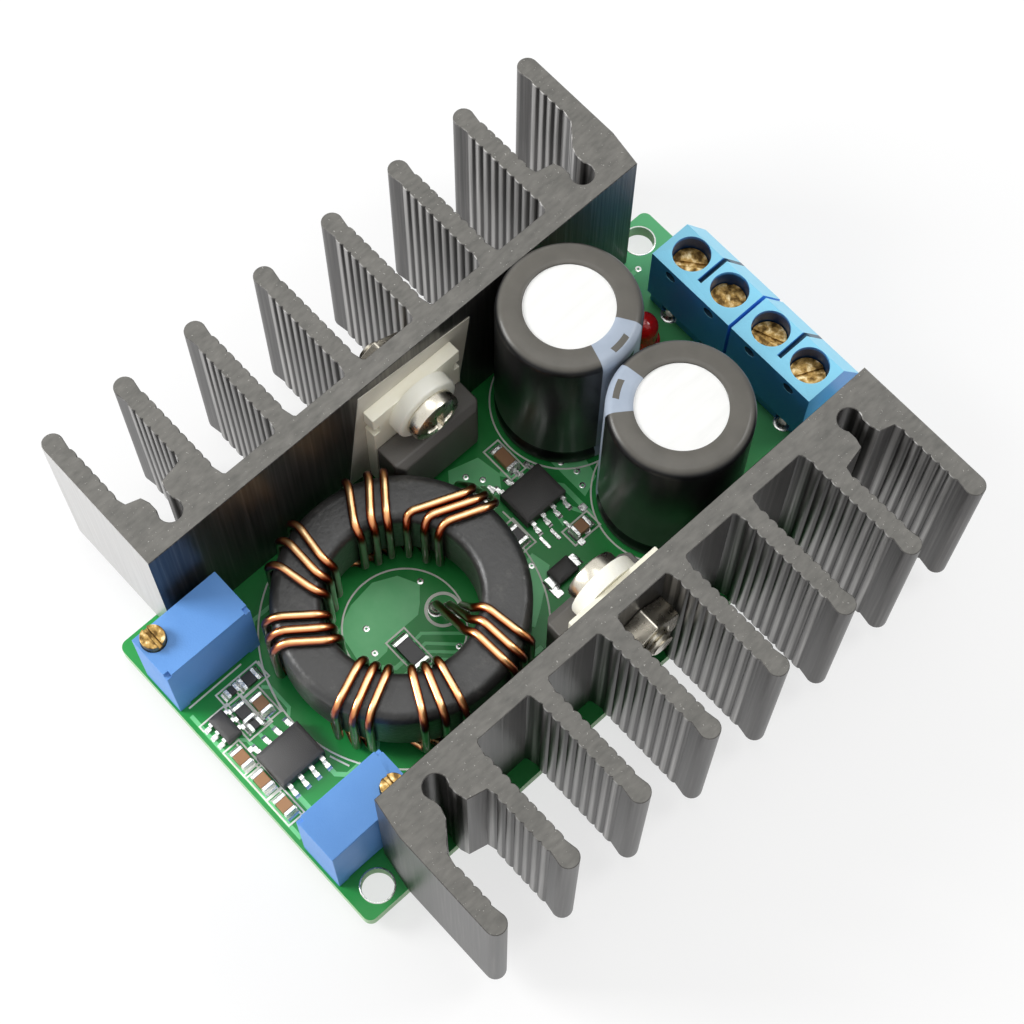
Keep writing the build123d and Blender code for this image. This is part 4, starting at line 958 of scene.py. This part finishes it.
def pan_head(rows=26, count=96):
    """A dome of x = rim + (radius / head)^2 * crown, with two crossed trenches that fade
    over a short way at each wall and end, closed by the flank and the seat."""
    radius = np.linspace(0, HEAD - 0.12, rows)[:, None]
    turn = np.arange(count) * 2 * pi / count
    arms = np.abs(circled((0, 0), radius, turn))
    wall = (np.clip((CROSS_HALF - arms.min(-1)) / 0.12, 0, 1)
            * np.clip((CROSS_REACH - arms.max(-1)) / 0.25, 0, 1))
    trench = wall * wall * (3 - 2 * wall) * CROSS_DEPTH
    dome = HEAD_RIM + (radius / HEAD) ** 2 * CROWN + trench
    flank = np.array([(HEAD, HEAD_RIM + HEAD_FLANK), (HEAD, BUSH_RIM - 0.1),
                      (HEAD - 0.1, BUSH_RIM), (SHANK - 0.1, BUSH_RIM)])
    height = np.concatenate([dome, np.repeat(flank[:, 1:], count, 1)])
    radius = np.concatenate([radius, flank[:, :1]])
    return walled(spin_across(radius, height, count), first=False)


def thread(start, end, steps=36):
    """A shank whose radius is SHANK less a triangle wave of (x / pitch - turn), faded out at
    its far end, closed by flat caps."""
    rows = int((end - start) / THREAD_PITCH * 6) + 1
    x = np.linspace(start, end, rows)[:, None]
    turns = np.arange(steps) / steps
    wave = np.abs(((x / THREAD_PITCH - turns) % 1) * 2 - 1)
    taper = np.clip((end - x) / 0.5, 0, 1) * 0.25 - 0.25
    return walled(spin_across(SHANK - THREAD_DEPTH * wave + taper, x, steps))


screw = joined(pan_head(), thread(BUSH_RIM, SCREW_END))
piece("pan_head_screws", both_sides(screw), plating, "clamping_screws", smooth=40)
softened("clamping_nuts", plating, 0.15)
print("transistors clamped")

# %% [markdown]
# The board is glass and resin under a green mask. Where copper runs beneath the mask it
# stands a little proud and looks paler, so the tracks are thin raised ribbons with a finish
# of their own. White legend lines are ribbons too, and stand just above them. Both have
# mitred corners, and each has a height of its own, so that no two tops lie in one plane.

# %% Board, tracks and legend
LEGEND_WIDTH, LEGEND_HEIGHT, HEIGHT_STEP, MITRE_LIMIT = 0.17, 0.045, 0.0008, 0.35
FRAME_ENDS, FRAME_SIDES, CORE_CIRCLES, CAN_CIRCLE = 1.3, 0.65, (13.55, 5.8), 0.45
SLOT_CIRCLE, BOLD = (0.5, 19.9, 1.6, 48), 0.3

masked = {"Coat_Weight": 0.12, "Coat_Roughness": 0.15, "Specular_IOR_Level": 0.2}
mask_green = Finish("board", **masked)
blotch, glass = mask_green.noise(0.12, 4.0), mask_green.noise(5.0, 2.0)
edge_on = 1 - mask_green.step(abs(mask_green.facing()[2]), 0.4, 0.7)
# painted light: the board's far end is painted paler, a painted pool of light
far_end_light = mask_green.step(mask_green.axes(mask_green.place())[1], 48.0, 60.0)
top_green = mask_green.mix(blotch, (26, 134, 56), (58, 172, 88))
top_green = mask_green.mix(far_end_light * 0.8, top_green, (118, 210, 148))
mask_green.set(Base_Color=mask_green.mix(edge_on, top_green, (166, 204, 158)),
               Roughness=0.32 + edge_on * 0.3 + (blotch - 0.5) * 0.1)
mask_green.bump(glass, 0.004)
dressed(mask_green, "circuit_board")

over_copper = patchy("board_tracks", (102, 206, 130), (142, 226, 162), 0.4, 4.0, 0.3, 0.1,
                     0.015, slot="board", **masked)
legend_white = patchy("board_legend", (232, 236, 222), (250, 250, 244), 2.5, 5.0, 0.6,
                      depth=0.01, slot="board")


def ribbon(route, width, height, closed=False):
    """A flat strip along a route: each corner moves sideways by half the width over the
    cosine of half its turn, so straight runs keep their width."""
    route = np.asarray(route, float)
    ahead, behind = np.roll(route, -1, 0) - route, route - np.roll(route, 1, 0)
    if not closed:
        ahead[-1], behind[0] = behind[-1], ahead[0]
    ahead, behind = square_to(unit(ahead)), square_to(unit(behind))
    sideways = unit(ahead + behind)
    share = np.sum(sideways * ahead, 1, keepdims=True)
    shift = sideways * width / 2 / np.maximum(share, MITRE_LIMIT)
    inset = min(height, width / 6)
    sections = [(shift, 0), (shift, height - inset / 3),
                (shift * (1 - 2 * inset / width), height)]
    rings = [at_height(route + side, z) for side, z in sections]
    rings += [at_height(route - side, z) for side, z in sections[::-1]]
    grid = np.stack(rings, 1)
    return walled(np.concatenate([grid, grid[:1]]) if closed else grid, not closed, not closed)


def ring(x, y, radius, count=96):
    """A circle as a closed route."""
    return arc((x, y), radius, 0, 360 - 360 / count, count)


def framed(x, y, length, width, turn):
    """A rectangle's corners as a closed route."""
    a, b = length / 2, width / 2
    return turned_plan([(-a, -b), (a, -b), (a, b), (-a, b)], x, y, turn)


# each small part's place, length over its metal ends, width and turn
RESISTORS = (
    (-6.45, 2.22, 1.9, 1.2, 90), (-4.35, -0.20, 1.9, 1.2, 0), (-2.75, -0.15, 1.4, 0.8, 90),
    (-6.65, 0.35, 1.4, 0.8, 90), (-0.18, 29.9, 1.9, 1.2, 0), (1.64, 14.92, 3.2, 1.6, 0),
)
CERAMICS = (
    (-3.84, 1.50, 1.9, 1.2, 0), (-1.15, -3.10, 1.9, 1.2, 0), (1.72, -3.08, 1.9, 1.2, 0),
    (4.80, -3.10, 1.9, 1.2, 0), (-6.69, 34.3, 2.6, 1.2, 0), (3.3, 34.9, 1.9, 1.2, 90),
)
open_lines = [
    [(-8.09, -3.59), (-8.12, 2.65)], [(-7.28, 4.02), (-2.10, 2.47)],
    [(-5.24, 0.72), (-2.16, 0.43)], [(-2.57, -2.57), (6.52, -2.50), (6.56, 1.98)],
    [(4.00, 2.92), (5.88, 3.62)], [(-2.96, 30.60), (0.46, 30.71)],
    [(-5.45, -4.0), (-6.1, -4.0), (-6.1, -0.75), (-5.45, -0.75)],
]
rings = [ring(CORE_X, CORE_Y, radius) for radius in CORE_CIRCLES]
rings += [ring(x, y, CAN + CAN_CIRCLE) for x, y, *_ in CANS.values()]
frames = [framed(x, y, length + FRAME_ENDS, width + FRAME_SIDES, turn)
          for x, y, length, width, turn in RESISTORS + CERAMICS]
legend = []
for line in open_lines + rings + frames:
    height = LEGEND_HEIGHT + len(legend) * HEIGHT_STEP
    legend.append(ribbon(line, LEGEND_WIDTH, height, closed=len(legend) >= len(open_lines)))
legend.append(ribbon(ring(*SLOT_CIRCLE), BOLD, LEGEND_HEIGHT, True))
piece("white_legend", joined(*legend), legend_white, smooth=0)

TRACK_HEIGHT, AREA_BEVEL = 0.015, 0.01
tracks = [  # each track's width and its corners
    (0.5, [(4.6, -1.6), (6.9, -1.6), (7.6, -0.9), (7.6, 5.2), (5.0, 7.9)]),
    (0.45, [(4.6, 2.2), (5.6, 2.2), (6.4, 3.0), (6.4, 4.6)]),
    (0.35, [(-1.0, -1.6), (-2.2, -1.6), (-3.0, -2.4)]),
    (0.35, [(-1.0, -0.4), (-2.0, -0.4)]), (0.35, [(-1.0, 0.9), (-2.3, 0.9), (-3.2, 1.5)]),
    (0.35, [(-1.0, 2.2), (-2.0, 3.2), (-4.6, 3.2), (-5.2, 2.6)]),
    (0.4, [(-7.4, -3.9), (8.0, -3.95)]),
    (0.4, [(-8.9, -4.0), (-8.9, 4.6), (-10.6, 6.2), (-10.6, 24.0)]),
    (0.32, [(1.02, 15.6), (0.86, 16.85), (3.67, 19.92)]),
    (0.32, [(1.88, 15.6), (1.84, 16.5), (4.3, 18.99)]),
    (0.32, [(2.62, 15.6), (2.62, 16.15), (4.95, 18.58)]),
    (0.32, [(3.3, 15.2), (3.96, 16.51), (4.97, 17.51)]),
    (0.45, [(2.9, 14.2), (2.9, 12.6), (1.9, 11.6)]),
    (0.45, [(1.8, 14.0), (1.8, 12.9), (0.9, 12.0)]),
    (0.5, [(9.4, 14.0), (9.4, 24.2)]), (0.5, [(-6.0, 33.0), (-1.0, 36.6), (3.2, 36.6)]),
    (0.4, [(0.9, 35.5), (2.2, 36.2)]), (0.4, [(0.9, 34.2), (2.0, 34.0)]),
    (0.5, [(-12.8, 49.5), (-12.8, 57.5)]), (0.5, [(10.2, 50.6), (13.6, 54.0), (13.6, 60.2)]),
]
copper_areas = [
    [(2.0, 29.8), (2.4, 27.0), (5.6, 24.0), (7.6, 25.0), (6.6, 26.6), (4.0, 30.2)],
    [(-9.5, 29.6), (-8.6, 32.6), (-6.0, 33.0), (-4.4, 31.8), (-5.4, 29.2), (-7.8, 28.2)],
    [(-3.6, 37.4), (1.2, 37.4), (0.4, 39.6), (-2.0, 40.2)],
    [(-4.53, 11.39), (-1.04, 10.76), (0.15, 11.72), (0.05, 13.39), (-0.65, 14.2), (-0.67, 17.85),
     (-1.48, 18.78), (-2.82, 19.98), (-4.86, 18.99), (-5.94, 16.79), (-5.6, 13.88)],
]
shapes = []
for area in copper_areas:
    shapes.append(extruded(area, 0, TRACK_HEIGHT + len(shapes) * HEIGHT_STEP, AREA_BEVEL))
for width, route in tracks:
    shapes.append(ribbon(route, width, TRACK_HEIGHT + len(shapes) * HEIGHT_STEP))
piece("copper_tracks", joined(*shapes), over_copper, smooth=0)

# %% [markdown]
# Solder is what shows first on a real board's underside: a small bright cone round every
# lead. On top it forms fillets against the metal ends of the surface-mounted parts. Cones
# are a hollow curve turned round each lead, height = rise * (1 - share)^2, and fillets are
# the same curve carried across the width of the end.

# %% Solder and pads
solder = patchy("tinned_copper", (206, 208, 206), (240, 240, 236), 1.8, 3.0, 0.16, 0.2, 0.04,
                Metallic=0.9)

BOARD, CONE_RISE, TOP_RISE, TOP_SHARE, PAD = 1.6, 0.95, 0.35, 0.8, 0.03
LEAD_X, LEAD_PITCH, CAN_LEADS, PIN_Y, LAMP = 11.4, 2.54, 2.5, 56.7, (-6.8, 52.4)
TRIMMERS, MOUNTING_HOLES = ((-10.77, 0.43), (11.2, 0.46)), ((15.8, -1.75), (-15.0, 60.05))

# each row of leads: its place and turn, the leads' offsets along it, then the radius of
# their cones' feet and their own radius
trio, slot_trio = (-LEAD_PITCH, 0, LEAD_PITCH), (-END_PITCH, 0, END_PITCH)
lead_rows = [(x, MIDDLE_Y, 90, trio, 1.15, 0.62) for x in (-LEAD_X, LEAD_X)]
lead_rows += [(x, PIN_Y, 0, (0,), 1.25, 0.5) for x in POLES]
lead_rows += [(*place, 90, trio, 0.85, 0.32) for place in TRIMMERS]
lead_rows += [(x, y, turn, (-CAN_LEADS, CAN_LEADS), 1.1, 0.37)
              for x, y, _, _, turn in CANS.values()]
lead_rows += [(*LAMP, 0, (-LEAD_PITCH / 2, LEAD_PITCH / 2), 0.8, 0.3)]
lead_rows += [(*slot, slot_trio, 1.0, 0.44) for slot in (START_SLOT, FINISH_SLOT)]


def solder_cone(place, foot, lead, base, rise):
    """A closed cone on a face of the board: radius runs from foot to lead while the height
    goes up as rise * (1 - share)^2."""
    share = np.linspace(1, 0, 7)
    radius = lead + (foot - lead) * share
    height = base + rise * (1 - share) ** 2 + np.sign(rise) * PAD
    profile = np.concatenate([[(0, base), (foot, base)], np.column_stack([radius, height]),
                              [(0, base + rise * 0.98)]])
    return revolved(profile, place, 20)


under, over = [], []
for x, y, turn, offsets, foot, lead in lead_rows:
    for place in turned_plan([(offset, 0) for offset in offsets], x, y, turn):
        under.append(solder_cone(place, foot, lead, -BOARD, -CONE_RISE))
        over.append(solder_cone(place, foot * TOP_SHARE, lead, 0, TOP_RISE))
piece("solder_cones", joined(*under, *over), solder, smooth=50)


def fillet(x, y, turn, start, reach, width, rise):
    """A wedge outside a metal end: height = rise * (1 - share)^2 over its reach, carried
    across the width, on a pad that runs a little under the part."""
    share = np.linspace(0, 1, 5)
    curve = np.column_stack([start + reach * share, PAD + rise * (1 - share) ** 2])
    outline = np.concatenate([[(start - 0.3, 0), (start + reach * 1.1, 0)], curve[::-1],
                              [(start - 0.3, PAD + rise)]])
    points, faces = extruded(outline, -width / 2, width / 2)
    return turned_plan(points[:, [0, 2, 1]], x, y, turn), faces


# for each kind of lead: its turn, the offsets across a row, then its fillet's start, reach,
# width and rise
EIGHT_LEADS = (0, (np.arange(4) - 1.5) * 1.27, 3.0, 0.28, 0.5, 0.16)
SIX_LEADS = (90, (-0.95, 0, 0.95), 1.4, 0.25, 0.5, 0.14)
TWO_TABS = (90, (0,), 1.85, 0.3, 1.1, 0.3)
END_REACH, END_EXTRA = 0.32, 0.1
fillets = []
for items, rise in ((RESISTORS, 0.35), (CERAMICS, 0.56)):
    for x, y, length, width, turn in items:
        fillets += [fillet(x, y, turn + half, length / 2, END_REACH, width + END_EXTRA, rise)
                    for half in (0, 180)]
for x, y, (turn, offsets, *measures) in ((1.75, 0.27, EIGHT_LEADS), (-2.0, 33.6, EIGHT_LEADS),
                                         (-4.35, -2.35, SIX_LEADS), (5.4, 30.55, TWO_TABS)):
    for half in (turn, turn + 180):
        spots = turned_plan([(0, offset) for offset in offsets], x, y, half)
        fillets += [fillet(*spot, half, *measures) for spot in spots]
piece("solder_fillets", joined(*fillets), solder, smooth=50)

loose_pads = [
    (6.37, 28.88, 1.3, 0.9, 0), (5.01, 32.27, 0.9, 0.7, 0), (1.88, 36.45, 0.8, 0.8, 0),
    (3.81, 35.12, 0.7, 0.7, 0), (4.33, 33.98, 0.7, 0.7, 0), (-1.31, -1.96, 0.6, 0.6, 0),
    (2.08, 31.4, 1.5, 0.4, 0), (2.1, 32.7, 1.4, 0.4, 0), (2.2, 34.2, 1.1, 0.4, 0),
    (-5.3, 31.2, 0.9, 0.9, 20),
]
PAD_ROUND, PAD_HEIGHT, PAD_BEVEL = 0.15, 0.12, 0.05
QUARTERS = ((1, -1, -90), (1, 1, 0), (-1, 1, 90), (-1, -1, 180))
pads = []
for x, y, length, width, turn in loose_pads:
    a, b = length / 2 - PAD_ROUND, width / 2 - PAD_ROUND
    corners = [arc((i * a, j * b), PAD_ROUND, start, start + 90, 4) for i, j, start in QUARTERS]
    points, faces = extruded(np.concatenate(corners), 0, PAD_HEIGHT, PAD_BEVEL)
    pads.append((turned_plan(points, x, y, turn), faces))
vias = [(2.9, 28.9), (3.6, 27.6), (4.5, 26.4), (5.6, 25.4), (3.0, 27.3), (-7.9, 30.4),
        (-6.6, 31.4), (-2.9, 38.1), (-1.2, 38.6), (0.2, 38.0), (6.9, 4.6), (-9.0, 5.2),
        (4.2, 18.6), (-2.9, 13.4), (-0.6, 12.4), (-3.0, 20.2), (13.6, 60.4), (-12.8, 57.8)]
via_profile = [(0.13, 0), (0.13, 0.05), (0.28, 0.05), (0.32, 0.035), (0.32, 0), (0.13, 0)]
pads += [revolved(via_profile, spot, 16) for spot in vias]
land = [(1.52, 0), (1.52, PAD), (1.62, PAD), (1.66, 0), (1.52, 0)]
pads += [revolved(land, hole, 48) for hole in MOUNTING_HOLES]
piece("bare_pads", joined(*pads), solder, smooth=40)

# %% [markdown]
# The small parts: moulded chips with tinned gull-wing leads, and two-ended chips that are
# black with a glassy face when they are resistors and tan when they are ceramic capacitors.

# %% Small parts
resistor_black = plastic("resistor_black", (24, 24, 26), (44, 42, 44), rough=0.3)
ceramic_tan = plastic("ceramic_tan", (146, 102, 66), (182, 136, 94), rough=0.45, depth=0.015)
for node, finish, width in (
    ("near_chip_case", moulding, 0.06), ("middle_chip_case", moulding, 0.06),
    ("small_chip_case", moulding, 0.06), ("diode_case", moulding, 0.06),
    ("resistor_bodies", resistor_black, 0.05), ("resistor_ends", solder, 0.06),
    ("ceramic_bodies", ceramic_tan, 0.06), ("ceramic_ends", solder, 0.07),
):
    softened(node, finish, width)
dressed(solder, "near_chip_leads", "middle_chip_leads", "small_chip_leads", "diode_tabs",
        "lamp_leads", "transistor_left_leads", "transistor_right_leads",
        "capacitor_left_leads", "capacitor_right_leads", "trimmer_left_pins",
        "trimmer_right_pins")
print("small parts dressed")

# %% [markdown]
# The indicator lamp is red epoxy cast in a dome, with a flange at its foot. Light goes
# into it, so it has a share of transmission under a smooth skin.

# %% Indicator lamp
lamp_red = patchy("lamp_red", (206, 18, 24), (232, 44, 40), 0.8, 3.0, 0.12, depth=0.01,
                  Transmission_Weight=0.45)
lamp_profile = np.concatenate([
    [(0, 0.4), (1.7, 0.4), (1.8, 0.5), (1.8, 1.1), (1.7, 1.2), (1.5, 1.2)],
    arc((0, 3.7), 1.5, 0, 90, 12),
])
piece("domed_lamp", revolved(lamp_profile, LAMP, 48), lamp_red, "lamp_lens")
